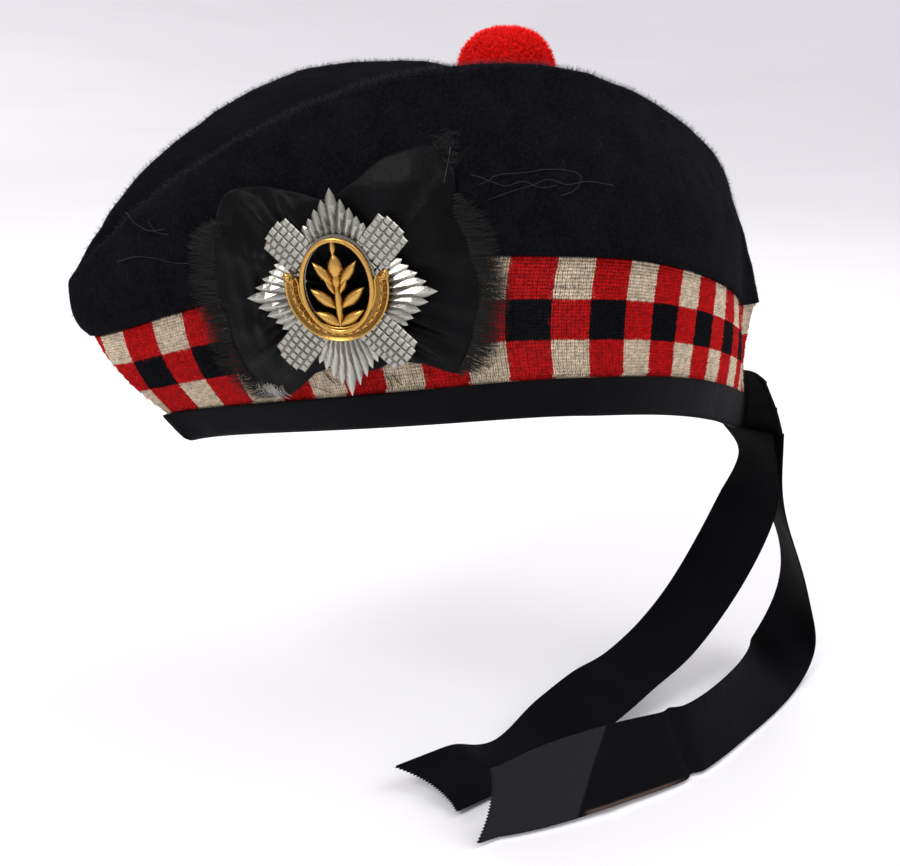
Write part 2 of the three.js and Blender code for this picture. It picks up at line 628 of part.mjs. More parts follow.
// Ribbons. x, y, z: shares of TAIL_DROP from the back end of the rim, middle of the ribbon.
// along: share of its length.
// turn and lift: degrees, direction from one edge to the other.
const TAIL_LEFT = [
  { along: 0.00, x: 0.008, y: 0.059, z: -0.064, turn: 14, lift: 4 },
  { along: 0.045, x: 0.029, y: 0.104, z: -0.151, turn: -3, lift: 9 },
  { along: 0.09, x: 0.043, y: 0.087, z: -0.277, turn: 15, lift: -1 },
  { along: 0.14, x: 0.058, y: 0.052, z: -0.350, turn: 24, lift: -13 },
  { along: 0.23, x: 0.044, y: -0.019, z: -0.528, turn: 30, lift: -15 },
  { along: 0.33, x: 0.057, y: -0.127, z: -0.686, turn: 28, lift: -13 },
  { along: 0.43, x: 0.102, y: -0.271, z: -0.804, turn: 27, lift: -12 },
  { along: 0.52, x: 0.172, y: -0.439, z: -0.865, turn: 26, lift: -8 },
  { along: 0.62, x: 0.250, y: -0.610, z: -0.896, turn: 28, lift: -20 },
  { along: 0.72, x: 0.319, y: -0.780, z: -0.949, turn: 28, lift: -20 },
  { along: 0.765, x: 0.352, y: -0.862, z: -0.978, turn: 24, lift: -7 },
  { along: 0.81, x: 0.389, y: -0.948, z: -0.986, turn: 23, lift: 4 },
  { along: 0.86, x: 0.425, y: -1.037, z: -0.980, turn: 23, lift: -4 },
  { along: 0.905, x: 0.461, y: -1.121, z: -0.960, turn: 22, lift: -14 },
  { along: 1.00, x: 0.522, y: -1.264, z: -0.950, turn: 25, lift: -16 },
];
const TAIL_RIGHT = [
  { along: 0.00, x: 0.000, y: 0.119, z: -0.074, turn: 11, lift: 7 },
  { along: 0.035, x: 0.014, y: 0.138, z: -0.147, turn: 3, lift: 3 },
  { along: 0.06, x: 0.014, y: 0.132, z: -0.219, turn: 0, lift: -3 },
  { along: 0.085, x: 0.038, y: 0.135, z: -0.291, turn: -4, lift: -8 },
  { along: 0.11, x: 0.114, y: 0.141, z: -0.357, turn: -14, lift: -10 },
  { along: 0.14, x: 0.132, y: 0.201, z: -0.465, turn: -14, lift: -10 },
  { along: 0.20, x: 0.107, y: 0.266, z: -0.655, turn: -10, lift: -9 },
  { along: 0.24, x: 0.094, y: 0.283, z: -0.750, turn: 1, lift: -8 },
  { along: 0.28, x: 0.081, y: 0.288, z: -0.843, turn: 18, lift: -6 },
  { along: 0.315, x: 0.083, y: 0.257, z: -0.920, turn: 39, lift: -13 },
  { along: 0.355, x: 0.142, y: 0.184, z: -0.933, turn: 41, lift: -29 },
  { along: 0.44, x: 0.283, y: 0.052, z: -0.901, turn: 34, lift: -52 },
  { along: 0.52, x: 0.413, y: -0.097, z: -0.884, turn: 30, lift: -68 },
  { along: 0.60, x: 0.529, y: -0.261, z: -0.877, turn: 27, lift: -75 },
  { along: 0.68, x: 0.634, y: -0.433, z: -0.873, turn: 25, lift: -78 },
  { along: 0.72, x: 0.670, y: -0.527, z: -0.874, turn: 24, lift: -80 },
  { along: 0.76, x: 0.671, y: -0.626, z: -0.877, turn: 12, lift: -68 },
  { along: 0.84, x: 0.690, y: -0.824, z: -0.888, turn: 10, lift: -56 },
  { along: 0.92, x: 0.740, y: -1.017, z: -0.880, turn: 4, lift: -70 },
  { along: 1.00, x: 0.782, y: -1.176, z: -0.871, turn: 4, lift: -91 },
];
// Pinked ends, mm: from the last section to the hollow, the hollow's depth between the corners,
// and how much further one corner goes.
const LEFT_END = { start: 2, hollow: 4, slant: -2.4 };
const RIGHT_END = { start: 2, hollow: 3, slant: 2 };

// The folded ribbon over the back seam, in the same columns.
const FOLD = [
  { along: 0.00, x: -0.057, y: 0.068, z: 0.134, turn: 0, lift: 8 },
  { along: 0.30, x: -0.043, y: 0.088, z: 0.077, turn: 2, lift: 8 },
  { along: 0.65, x: -0.024, y: 0.106, z: 0.003, turn: 7, lift: 8 },
  { along: 1.00, x: -0.005, y: 0.115, z: -0.068, turn: 11, lift: 7 },
];

// Middle points and half-width directions at equal steps along a ribbon table.
function ribbonPath(table, steps, width) {
  const backEnd = HALF_LENGTH * LEVELS.rim.back;
  const points = table.map((r) => vec(r.x, r.y, r.z).multiplyScalar(TAIL_DROP)
    .add(vec(0, backEnd, 0)));
  const curve = new THREE.CatmullRomCurve3(points, false, "centripetal");
  return Array.from({ length: steps + 1 }, (_, i) => {
    const s = i / steps;
    const k = Math.min(table.length - 2, Math.max(0, table.findIndex((r) => r.along > s) - 1));
    const row = s >= 1 ? table.length - 2 : k;
    const local = (s - table[row].along) / (table[row + 1].along - table[row].along);
    const turn = THREE.MathUtils.degToRad(column(table, "turn", s));
    const lift = THREE.MathUtils.degToRad(column(table, "lift", s));
    const half = vec(Math.cos(lift) * Math.cos(turn), Math.cos(lift) * Math.sin(turn),
      Math.sin(lift)).multiplyScalar(width / 2);
    return { at: curve.getPoint((row + local) / (table.length - 1)), half };
  });
}

// A ribbon of even thickness. The free end is pinked: a shallow hollow with small teeth.
function ribbon(table, steps, width, thick, end) {
  const path = ribbonPath(table, steps, width);
  const teeth = end !== null;
  const shares = [-1, -0.35, 0.35, 1];
  const last = path.length - 1;
  const forward = (i) => path[Math.min(i + 1, last)].at.clone()
    .sub(path[Math.max(i - 1, 0)].at).normalize();
  const layer = (side) => path.map((p, i) => {
    const n = forward(i).cross(p.half).normalize().multiplyScalar((side * thick) / 2);
    return shares.map((u) => p.at.clone().addScaledVector(p.half, u).add(n));
  });
  const top = layer(1);
  const low = layer(-1);
  const triangles = [...quads(low, false, false)];
  quads(top, false, false).forEach(([a, b, c]) => triangles.push([a, c, b]));
  const edge = (a, b) => {
    for (let i = 0; i < a.length - 1; i += 1) {
      triangles.push([a[i], b[i], b[i + 1]], [a[i], b[i + 1], a[i + 1]]);
    }
  };
  edge(top.map((r) => r[0]), low.map((r) => r[0]));
  edge(low.map((r) => r[3]), top.map((r) => r[3]));
  edge(low[0], top[0]);
  const count = teeth ? 2 * Math.round(width / TOOTH) : shares.length - 1;
  const step = forward(last);
  const cut = (side) => Array.from({ length: count + 1 }, (_, j) => {
    const u = teeth ? -1 + (2 * j) / count : shares[j];
    const p = path[last];
    const n = step.clone().cross(p.half).normalize().multiplyScalar((side * thick) / 2);
    const reach = teeth ? end.start + end.hollow * u * u + end.slant * u + (j % 2) * TOOTH * 0.6 : 0;
    return p.at.clone().addScaledVector(p.half, u).addScaledVector(step, reach).add(n);
  });
  const cutTop = cut(1);
  const cutLow = cut(-1);
  if (!teeth) {
    edge(top[last], low[last]);
    return solid(triangles);
  }
  const stitch = (row, end, flip) => {
    let i = 0;
    let j = 0;
    while (i < row.length - 1 || j < end.length - 1) {
      const nextRow = i < row.length - 1 ? (shares[i + 1] + 1) / 2 : 2;
      const nextEnd = j < end.length - 1 ? (j + 1) / count : 2;
      if (nextRow <= nextEnd) {
        triangles.push(flip ? [row[i], end[j], row[i + 1]] : [row[i], row[i + 1], end[j]]);
        i += 1;
      } else {
        triangles.push(flip ? [row[i], end[j], end[j + 1]] : [row[i], end[j + 1], end[j]]);
        j += 1;
      }
    }
  };
  stitch(low[last], cutLow, false);
  stitch(top[last], cutTop, true);
  edge([top[last][0], cutTop[0]], [low[last][0], cutLow[0]]);
  edge([low[last][3], cutLow[count]], [top[last][3], cutTop[count]]);
  edge(cutTop, cutLow);
  return solid(triangles);
}

const part = new THREE.Group();
part.name = "glengarry";
const hat = [
  mesh("crown", crown(), 0x14151d, 0.95, 0),
  mesh("diced_band", band(), 0xb01f22, 0.9, 0),
  mesh("binding", binding(), 0x1b1c1e, 0.7, 0),
];
part.add(...hat);
part.add(mesh("rosette", rosette(wallHeights(hat)), 0x121214, 0.75, 0));
part.add(mesh("badge_star", star(), 0xc9c9bd, 0.3, 1));
part.add(mesh("badge_centre", badgeCentre(), 0xd9a23a, 0.35, 1));
part.add(mesh("toorie", toorie(), 0xd8140e, 1, 0));
part.add(mesh("ribbon_fold", ribbon(FOLD, 8, FOLD_WIDTH, FOLD_THICK, null), 0x141416, 0.7, 0));
const tail = (table, end) => ribbon(table, TAIL_STEPS, TAIL_WIDTH, RIBBON, end);
part.add(mesh("tail_left", tail(TAIL_LEFT, LEFT_END), 0x141416, 0.7, 0));
part.add(mesh("tail_right", tail(TAIL_RIGHT, RIGHT_END), 0x141416, 0.7, 0));

export default part;
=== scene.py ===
import math
import random

import bpy
import bmesh
import numpy as np
from bpy.props import FloatProperty, FloatVectorProperty, IntProperty, PointerProperty
from mathutils import Matrix, Vector, noise
from mathutils.bvhtree import BVHTree


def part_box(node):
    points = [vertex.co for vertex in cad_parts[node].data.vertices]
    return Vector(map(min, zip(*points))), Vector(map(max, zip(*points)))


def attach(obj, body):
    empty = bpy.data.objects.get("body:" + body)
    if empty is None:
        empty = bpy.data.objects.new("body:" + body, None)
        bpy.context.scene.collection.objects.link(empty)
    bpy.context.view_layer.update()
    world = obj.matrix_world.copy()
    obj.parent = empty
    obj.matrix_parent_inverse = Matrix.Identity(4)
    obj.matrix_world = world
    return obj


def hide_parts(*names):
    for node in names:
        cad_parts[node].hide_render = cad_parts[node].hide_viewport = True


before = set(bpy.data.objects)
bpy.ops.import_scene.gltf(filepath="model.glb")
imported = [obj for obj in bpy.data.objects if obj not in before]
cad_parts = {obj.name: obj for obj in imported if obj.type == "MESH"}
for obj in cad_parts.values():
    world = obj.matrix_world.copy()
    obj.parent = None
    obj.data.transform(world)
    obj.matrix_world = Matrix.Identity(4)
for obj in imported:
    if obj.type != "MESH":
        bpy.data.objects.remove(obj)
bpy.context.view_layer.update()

bl_info = {
    "name": "Diced glengarry",
    "version": (1, 0, 0),
    "blender": (4, 5, 0),
    "location": "3D View > Sidebar > Glengarry",
    "description": "Dresses a glengarry: felt, knitted dicing, ribbons, rosette, badge and toorie",
    "category": "Object",
}

MM = 0.001

# Crown: lengths in millimetres, NOSE and SEAM as shares of the half length
HALF_LENGTH = 103.5
HALF_WIDTH = 76.0
RIDGE_HEIGHT = 124.0
RIDGE_HALF = 62.0  # half the distance between the two ridges
CREASE_DEPTH = 17.0
FELT = 2.5
GAP = 0.3  # left between pieces
LIP = 1.2  # of the crown over the head of the band
SHOULDER_OUT = 4.5
SHOULDER_DROP = 6.5
FIN_REACH = 6.0
NOSE = -1.299
SEAM = 0.85
CROWN_COLUMNS = 132
CROWN_STEPS = 50
RIDGE_ROW = 24  # first row of the strip along the top of the ridges whose nap is painted lighter, a painted highlight
CREASE_ROW = 35  # row of the crown's mesh just inside the ridges

# Knitted band, in millimetres
BAND_WALL = 2.6
BAND_PUFF = 1.3  # how far it stands out at half height
BOW_PUFF = 1.2  # how much more it does at the bow
BOW_SPREAD = 14.0
STERN_PINCH = 3.6  # how far its back end is drawn forward at half height
STERN_SPREAD = 9.0
BAND_COLUMNS = 150
COURSES = 36
SQUARE_COURSES = 12  # in each of the three rows of squares
RED_WALES = 10
WHITE_WALES = 9
FIRST_COLUMN = 1.6  # from the bow to the first red column
STRETCH = 1.032  # width of a wale at the head of the band against its foot
COLUMN_SLANT = 15.4  # how far the columns lean back over the band's height
STITCH_SINK = 0.42
STITCH_WIDTH = 1.1  # of a wale
STITCH_UNEVEN = 0.06
BACKING_SHADE = 0.4  # the backing seen between the stitches is painted darker than they are, a painted shade in the gaps
FLUFF_HAIRS = 30000  # on each side of the band

# Outlines at three levels. Ends and half width are shares of HALF_LENGTH and HALF_WIDTH, heights of
# RIDGE_HEIGHT; the other columns round the two ends.
LEVELS = {
    "rim": dict(front=-0.975, back=0.958, half=0.992, widest=0.52, fin=0.75, bow=2.67,
                bow_root=0.8, stern=1.52, stern_root=1.3, front_z=0.048, mid_z=0.217, back_z=-0.045),
    "foot": dict(front=-1.045, back=0.96, half=1.018, widest=0.52, fin=0.7, bow=2.67,
                 bow_root=0.8, stern=1.52, stern_root=1.3, front_z=0.122, mid_z=0.314, back_z=0.062),
    "head": dict(front=-1.25, back=0.885, half=1.139, widest=0.53, fin=2.3, bow=1.22,
                 bow_root=1.47, stern=1.74, stern_root=1.48, front_z=0.338, mid_z=0.605, back_z=0.331),
}
# Crown above the band, from bow to back: each column is a share of its own full size
CROWN = [
    dict(along=0.00, half=0.00, top=0.490, crease=0.10, bulge=0.12, low=0.24),
    dict(along=0.06, half=0.21, top=0.620, crease=0.30, bulge=0.12, low=0.34),
    dict(along=0.13, half=0.45, top=0.740, crease=0.50, bulge=0.10, low=0.44),
    dict(along=0.25, half=0.74, top=0.880, crease=0.75, bulge=0.10, low=0.50),
    dict(along=0.40, half=0.94, top=0.976, crease=0.95, bulge=0.12, low=0.50),
    dict(along=0.55, half=1.00, top=1.000, crease=1.00, bulge=0.12, low=0.50),
    dict(along=0.70, half=0.85, top=0.952, crease=1.00, bulge=0.11, low=0.50),
    dict(along=0.85, half=0.56, top=0.836, crease=0.80, bulge=0.08, low=0.50),
    dict(along=0.94, half=0.28, top=0.750, crease=0.50, bulge=0.06, low=0.50),
    dict(along=1.00, half=0.00, top=0.690, crease=0.15, bulge=0.03, low=0.50),
]

# Badge frame: s back along the hat, h up, w out of the badge's face
BADGE_TURN = math.radians(60)
BADGE_TILT = math.radians(-4)
BADGE_LEAN = math.radians(5)
BADGE_SEAT = 6.5
BADGE_AT = np.array([0.816 * HALF_WIDTH, -0.628 * HALF_LENGTH, 0.52 * RIDGE_HEIGHT])
FACE_OUT = np.array([math.sin(BADGE_TURN) * math.cos(BADGE_TILT),
                     -math.cos(BADGE_TURN) * math.cos(BADGE_TILT), math.sin(BADGE_TILT)])
FACE_BACK = np.array([math.cos(BADGE_TURN), math.sin(BADGE_TURN), 0.0])
FACE_UP = np.cross(FACE_OUT, FACE_BACK)

# Rosette: angle in degrees, then its reach and how deep it folds, as shares
ROSETTE_REACH = 50.0
SILK_THICK = 0.45
SPOKES = 360
RINGS = 40
ROSETTE = [dict(along=turn / 360, reach=reach, fold=fold) for turn, reach, fold in (
    (0, 0.78, 0.9), (18, 0.76, 0.6), (36, 0.78, 1.0), (50, 0.89, 0.8), (59, 0.90, 0.9),
    (70, 0.79, 0.6), (85, 0.58, 0.3), (101, 0.50, 0.3), (116, 0.59, 0.7), (132, 0.73, 0.9),
    (145, 0.84, 0.8), (158, 0.80, 1.0), (180, 0.80, 0.6), (200, 0.82, 0.9), (217, 0.88, 0.7),
    (229, 0.92, 0.5), (238, 0.82, 0.4), (248, 0.55, 0.3), (262, 0.46, 0.1), (281, 0.48, 0.1),
    (302, 0.47, 0.2), (316, 0.57, 0.4), (325, 0.79, 0.6), (334, 0.79, 0.9), (360, 0.78, 0.9))]
# Gathers: angle and width in degrees, height in millimetres
GATHERS = ((305, 4.0, 2.2), (316, 3.2, 2.6), (328, 4.2, 2.4), (340, 3.6, 1.5), (354, 5.0, 0.9),
           (24, 7.0, 0.7), (47, 5.0, 1.1), (127, 4.0, 1.8), (141, 4.0, 1.6), (163, 5.0, 1.3),
           (205, 5.0, 1.7), (219, 3.6, 2.3), (233, 4.0, 1.6))
# Cut ends that fray: middle and half width in degrees
CUT_ENDS = ((3, 37), (195, 38), (-165, 38))
FRINGE_TRIES = 5200
FRINGE_BARE = 2.2  # how far the cloth itself has frayed away at a cut end
# Knots of loose thread: back, up and spread in millimetres, and how many curls
KNOTS = ((-35.0, 15.5, 2.2, 60), (26.5, 39.5, 3.0, 60), (28.5, 36.0, 1.6, 24))
TUFT_HAIRS = 70

# Badge, in millimetres
OVAL_HALF_WIDTH = 9.6
OVAL_HALF_HEIGHT = 12.4
OVAL_UP = 3.0
STAR_HALF_HEIGHT = 28.6
STAR_HALF_WIDTH = 26.6
BLADE_PITCH = math.radians(6.3)
BEAD_PITCH = 2.2
BEADS = 8  # in a row of an arm
BEAD_START = 9.5
BADGE_COVER = 27  # the silk stays flat under the badge out to here
BADGE_CLEAR = 34  # and is free of it from here
STAR_THICK = 2.5
GILT_RISE = 0.9  # of the middle of the oval's wire over the gap
CRESCENT_OUT = 2.7  # from the oval's sides to the middle of the crescent
CRESCENT_DOWN = 0.7  # and from the oval's foot

# Ribbons: x, y, z are shares of the drop, from the back end of the rim; turn and lift in degrees
TAIL_DROP = 105.0
TAIL_WIDTH = 25.0
TAIL_THICK = 0.55
FOLD_WIDTH = 25.0
FOLD_THICK = 1.5
BACK_END = HALF_LENGTH * LEVELS["rim"]["back"]
RIBBON_KEYS = ("along", "x", "y", "z", "turn", "lift")
TAIL_LEFT = [dict(zip(RIBBON_KEYS, r)) for r in (
    (0.00, 0.008, 0.059, -0.064, 14, 4), (0.045, 0.029, 0.104, -0.151, -3, 9),
    (0.09, 0.043, 0.087, -0.277, 15, -1), (0.14, 0.058, 0.052, -0.350, 24, -13),
    (0.23, 0.044, -0.019, -0.528, 30, -15), (0.33, 0.057, -0.127, -0.686, 28, -13),
    (0.43, 0.102, -0.271, -0.804, 27, -12), (0.52, 0.172, -0.439, -0.865, 26, -8),
    (0.62, 0.250, -0.610, -0.896, 28, -20), (0.72, 0.319, -0.780, -0.949, 28, -20),
    (0.765, 0.352, -0.862, -0.978, 24, -7), (0.81, 0.389, -0.948, -0.986, 23, 4),
    (0.86, 0.425, -1.037, -0.980, 23, -4), (0.905, 0.461, -1.121, -0.960, 22, -14),
    (1.00, 0.522, -1.264, -0.950, 25, -16))]
TAIL_RIGHT = [dict(zip(RIBBON_KEYS, r)) for r in (
    (0.00, 0.000, 0.119, -0.074, 11, 7), (0.035, 0.014, 0.138, -0.147, 3, 3),
    (0.06, 0.014, 0.132, -0.219, 0, -3), (0.085, 0.038, 0.135, -0.291, -4, -8),
    (0.11, 0.114, 0.141, -0.357, -14, -10), (0.14, 0.132, 0.201, -0.465, -14, -10),
    (0.20, 0.107, 0.266, -0.655, -10, -9), (0.24, 0.094, 0.283, -0.750, 1, -8),
    (0.28, 0.081, 0.288, -0.843, 18, -6), (0.315, 0.083, 0.257, -0.920, 39, -13),
    (0.355, 0.142, 0.184, -0.933, 41, -29), (0.44, 0.283, 0.052, -0.901, 34, -52),
    (0.52, 0.413, -0.097, -0.884, 30, -68), (0.60, 0.529, -0.261, -0.877, 27, -75),
    (0.68, 0.634, -0.433, -0.873, 25, -78), (0.72, 0.670, -0.527, -0.874, 24, -80),
    (0.76, 0.671, -0.626, -0.877, 12, -68), (0.84, 0.690, -0.824, -0.888, 10, -56),
    (0.92, 0.740, -1.017, -0.880, 4, -70), (1.00, 0.782, -1.176, -0.871, 4, -91))]
FOLD = [dict(zip(RIBBON_KEYS, r)) for r in (
    (0.00, -0.057, 0.068, 0.134, 0, 8), (0.30, -0.043, 0.088, 0.077, 2, 8),
    (0.65, -0.024, 0.106, 0.003, 7, 8), (1.00, -0.005, 0.115, -0.068, 11, 7))]
LEFT_END = dict(start=2.0, hollow=4.0, slant=-2.4)
RIGHT_END = dict(start=2.0, hollow=3.0, slant=2.0)

# Creases across a ribbon: share of its run, depth in millimetres, width and skew as shares
RIGHT_CREASES = ((0.73, -2.0, 0.009, 0.012), (0.845, 0.7, 0.01, -0.01))
FOLD_CREASES = ((0.62, -0.5, 0.02, 0.0),)
FOLD_LAP = 1.4  # of the fold over the tails
FOLD_ROUNDED = 3.6  # how far the fold's top corners are rounded

# Wear of the right tail, along its run and from its edge, in millimetres
FADED_FROM = 235.0
FADE_SLANT = -0.75  # how the edge of the faded length leans
WORN_FROM = 200.0
WORN_TO = 240.0
WORN_RISE = 8.0
WORN_FALL = 2.0
SELVEDGE = 1.5

# Floor, in millimetres: level out to FLOOR_LEVEL, then rising like a studio board
FLOOR_LEVEL = 1500.0
FLOOR_REACH = 8000.0
FLOOR_RISE = 1700.0
FLOOR_RINGS = 24
FLOOR_BELOW = 0.4  # under the tails
BACKDROP_WATTS = 20.0

# Camera, from the photograph's view: place in millimetres and the directions it looks along
EYE = np.array([390.69, -150.54, 124.65])
LOOK = np.array([-0.90389, 0.31834, -0.28573])
EYE_RIGHT = np.array([0.32784, 0.94461, 0.01531])
EYE_UP = np.array([-0.27477, 0.07983, 0.95819])
FOCAL_PX = 1250.0
IMAGE = (900, 866)


def linear(code):
    """An sRGB hex colour as linear red, green and blue."""
    out = []
    for i in (1, 3, 5):
        v = int(code[i:i + 2], 16) / 255
        out.append(v / 12.92 if v <= 0.04045 else ((v + 0.055) / 1.055) ** 2.4)
    return tuple(out)


def colour_property(name, about, code):
    """A colour that the panel shows, from its hex code."""
    return FloatVectorProperty(name=name, description=about, subtype="COLOR", size=3, min=0, max=1,
                               default=linear(code))


class GlengarryCloth(bpy.types.PropertyGroup):
    red_square: FloatProperty(name="Red square", description="Width of a red column of the dicing",
                              default=12.6 * MM, min=0.008, max=0.02, unit="LENGTH")
    white_square: FloatProperty(name="White square", description="Width of a white column of the dicing",
                                default=11.2 * MM, min=0.008, max=0.02, unit="LENGTH")
    red: colour_property("Red wool", "Red yarn of the dicing", "#c01416")
    white: colour_property("White wool", "Off-white yarn of the dicing", "#dbcab0")
    dark: colour_property("Dark wool", "Dark yarn of the dicing", "#090b10")
    felt: colour_property("Crown wool", "Milled wool of the crown", "#08080b")
    fuzz: FloatProperty(name="Fuzz length", description="Longest fibre that stands off the crown",
                        default=2.2 * MM, min=0.0005, max=0.006, unit="LENGTH")
    fuzz_count: IntProperty(name="Fuzz density", description="Fibres on each square centimetre of the crown",
                            default=34, min=0, max=120)


class GlengarryTrim(bpy.types.PropertyGroup):
    ribbon: colour_property("Ribbon", "Black ribbon of the binding and tails", "#0b0b0d")
    rib: FloatProperty(name="Rib spacing", description="Distance between the ribs of the ribbon",
                       default=0.9 * MM, min=0.0004, max=0.003, unit="LENGTH")
    fray: FloatProperty(name="Fray length", description="Longest loose thread at the rosette's cut ends",
                        default=7.0 * MM, min=0.001, max=0.015, unit="LENGTH")
    silver: colour_property("White metal", "Star of the badge", "#b8b6ad")
    gilt: colour_property("Gilt", "Oval and leaves of the badge", "#c2974f")
    toorie: colour_property("Toorie wool", "Clipped wool of the ball", "#f0150f")
    pile_count: IntProperty(name="Pile", description="Yarn ends over each square centimetre of the ball",
                            default=260, min=20, max=400)


# Nodes and materials

def add(tree, kind, links=None, **settings):
    """One node with its settings; links gives each input a value or another node's socket."""
    n = tree.nodes.new(kind)
    for key, value in settings.items():
        setattr(n, key, value)
    for key, value in (links or {}).items():
        if isinstance(value, bpy.types.NodeSocket):
            tree.links.new(value, n.inputs[key])
        else:
            n.inputs[key].default_value = value
    return n


def rgba(colour, gain=1.0):
    """A colour, made lighter or darker by its gain, as a node takes it."""
    return (colour[0] * gain, colour[1] * gain, colour[2] * gain, 1.0)


def finish(name, roughness, metallic=0.0, **sockets):
    """A new material with its shader; returns material, tree and shader."""
    m = bpy.data.materials.new(name)
    m.use_nodes = True
    shader = m.node_tree.nodes["Principled BSDF"]
    shader.inputs["Roughness"].default_value = roughness
    shader.inputs["Metallic"].default_value = metallic
    for key, value in sockets.items():
        shader.inputs[key.replace("_", " ")].default_value = value
    return m, m.node_tree, shader


def here(tree):
    """Place on the object, so that a pattern keeps to it."""
    return add(tree, "ShaderNodeTexCoord").outputs["Object"]


def stored(tree, name, part="Fac"):
    """What the mesh's own attribute says at each place."""
    return add(tree, "ShaderNodeAttribute", attribute_name=name).outputs[part]


def blend(tree, share, first, second, how="MIX"):
    """Two colours mixed by a share, or joined in another way."""
    return add(tree, "ShaderNodeMix", {"Factor": share, 6: first, 7: second}, data_type="RGBA",
               blend_type=how).outputs[2]


def ranged(tree, value, low, high, start=0.0, end=1.0):
    """A value carried from one range into another, and held at its ends."""
    return add(tree, "ShaderNodeMapRange", {"Value": value, 1: low, 2: high, 3: start, 4: end}).outputs[0]


def product(tree, first, second):
    """One value times another."""
    return add(tree, "ShaderNodeMath", {0: first, 1: second}, operation="MULTIPLY").outputs[0]


def grain_of(tree, where, size, detail):
    """Noise whose features are about this many millimetres wide."""
    return add(tree, "ShaderNodeTexNoise",
               {"Vector": where, "Scale": 1000.0 / size, "Detail": detail}).outputs[0]


def mottle(tree, where, size, low, high, dark, light, detail=4.0):
    """Two colours mixed by a noise of this size in millimetres, and the noise itself."""
    grain = grain_of(tree, where, size, detail)
    return blend(tree, ranged(tree, grain, low, high), dark, light), grain


def paint(tree, shader, colour):
    """Gives the shader its colour."""
    tree.links.new(colour, shader.inputs["Base Color"])


def relief(tree, shader, height, depth_mm, under=None):
    """Raises the surface by this height, over a relief that it already has."""
    links = {"Height": height, "Distance": depth_mm * MM, "Strength": 1.0}
    if under is not None:
        links["Normal"] = under
    bump = add(tree, "ShaderNodeBump", links)
    tree.links.new(bump.outputs[0], shader.inputs["Normal"])
    return bump.outputs[0]


def painted_board():
    """Matt off-white board: plain, with an unevenness that is barely seen."""
    m, tree, shader = finish("matt_painted_board", 0.9, Specular_IOR_Level=0.1)
    tone, _ = mottle(tree, here(tree), 400.0, 0.3, 0.7, rgba(linear("#f6f5f6")), rgba(linear("#f9f8f9")),
                     1.0)
    paint(tree, shader, tone)
    return m


def milled_wool(cloth):
    """Felted and brushed knit: near-black navy, matt, with a short nap, and a painted shade that darkens it
    down in the crease.
    """
    m, tree, shader = finish("milled_brushed_wool", 1.0, Sheen_Weight=0.026, Sheen_Roughness=0.3,
                             Specular_IOR_Level=0.03)
    shader.inputs["Sheen Tint"].default_value = rgba(linear("#8f93a8"))
    where = here(tree)
    worn, broad = mottle(tree, where, 9.0, 0.35, 0.7, rgba(cloth.felt), rgba(linear("#0e0e11")))
    nap, fine = mottle(tree, where, 0.9, 0.42, 0.72, (0, 0, 0, 1), rgba(linear("#0b0b0e")), 6.0)
    both = blend(tree, 1.0, worn, nap, "ADD")
    # Painted shade: the felt is mixed to near-black down in the crease
    paint(tree, shader, blend(tree, stored(tree, "painted_crease_shade"), both, rgba(linear("#060608"))))
    first = relief(tree, shader, fine, 0.5)
    relief(tree, shader, broad, 1.2, first)
    return m


def wool_fibre(name, colour, stray):
    """Single wool fibres: dull, in the colour given, a few of them paler; the crease and ridge naps carry
    painted shade and a painted highlight.
    """
    m, tree, shader = finish(name, 0.95, Sheen_Weight=0.03, Specular_IOR_Level=0.05)
    pick = ranged(tree, stored(tree, "shade"), 0.93, 1.0)
    paint(tree, shader, blend(tree, pick, rgba(colour), rgba(stray)))
    return m


def knitting_yarn():
    """Worsted knitting yarn in its dyed colour, matt, a little uneven from stitch to stitch."""
    m, tree, shader = finish("knitted_worsted_yarn", 0.95, Sheen_Weight=0.03, Sheen_Roughness=0.5,
                             Specular_IOR_Level=0.05)
    where = here(tree)
    level = ranged(tree, grain_of(tree, where, 1.6, 4.0), 0.3, 0.75, 0.72, 1.12)
    paint(tree, shader, blend(tree, 1.0, stored(tree, "dye", "Color"), level, "MULTIPLY"))
    relief(tree, shader, grain_of(tree, where, 0.35, 2.0), 0.12)
    return m


def petersham(name, trim, roughness, rib_gain=1.0, faded=False):
    """Black ribbon, dull, with fine ribs across it; a faded one has a grey end and a brown worn selvedge."""
    m, tree, shader = finish(name, roughness, Specular_IOR_Level=0.03)
    place = add(tree, "ShaderNodeUVMap", uv_map="ribbon")
    parts = add(tree, "ShaderNodeSeparateXYZ", {0: place.outputs[0]})
    run, across = parts.outputs[0], parts.outputs[1]
    turns = product(tree, run, 2 * math.pi / (trim.rib / MM))
    rib = add(tree, "ShaderNodeMath", {0: turns}, operation="SINE").outputs[0]
    base, cloudy = mottle(tree, here(tree), 14.0, 0.3, 0.75, rgba(trim.ribbon), rgba(trim.ribbon, 1.35))
    if faded:
        slant = add(tree, "ShaderNodeMath", {0: across, 1: FADE_SLANT, 2: run}, operation="MULTIPLY_ADD")
        old = ranged(tree, slant.outputs[0], FADED_FROM, FADED_FROM + 1.0)
        base = blend(tree, old, base, rgba(linear("#242426")))
        begins = ranged(tree, run, WORN_FROM, WORN_FROM + WORN_RISE)
        ends = ranged(tree, run, WORN_TO, WORN_TO + WORN_FALL, 1.0, 0.0)
        edge = ranged(tree, across, TAIL_WIDTH / 2 - SELVEDGE, TAIL_WIDTH / 2 - SELVEDGE + 0.5)
        worn = product(tree, product(tree, begins, ends), edge)
        base = blend(tree, worn, base, rgba(linear("#4a3f3a")))
    # Painted light and shade on the ribs: their crests lighter and the grooves between them darker
    shade = ranged(tree, rib, -1.0, 1.0, 1.0 - 0.16 * rib_gain, 1.0 + 0.1 * rib_gain)
    paint(tree, shader, blend(tree, 1.0, base, shade, "MULTIPLY"))
    first = relief(tree, shader, rib, 0.02 * rib_gain)
    relief(tree, shader, cloudy, 0.8, first)
    return m


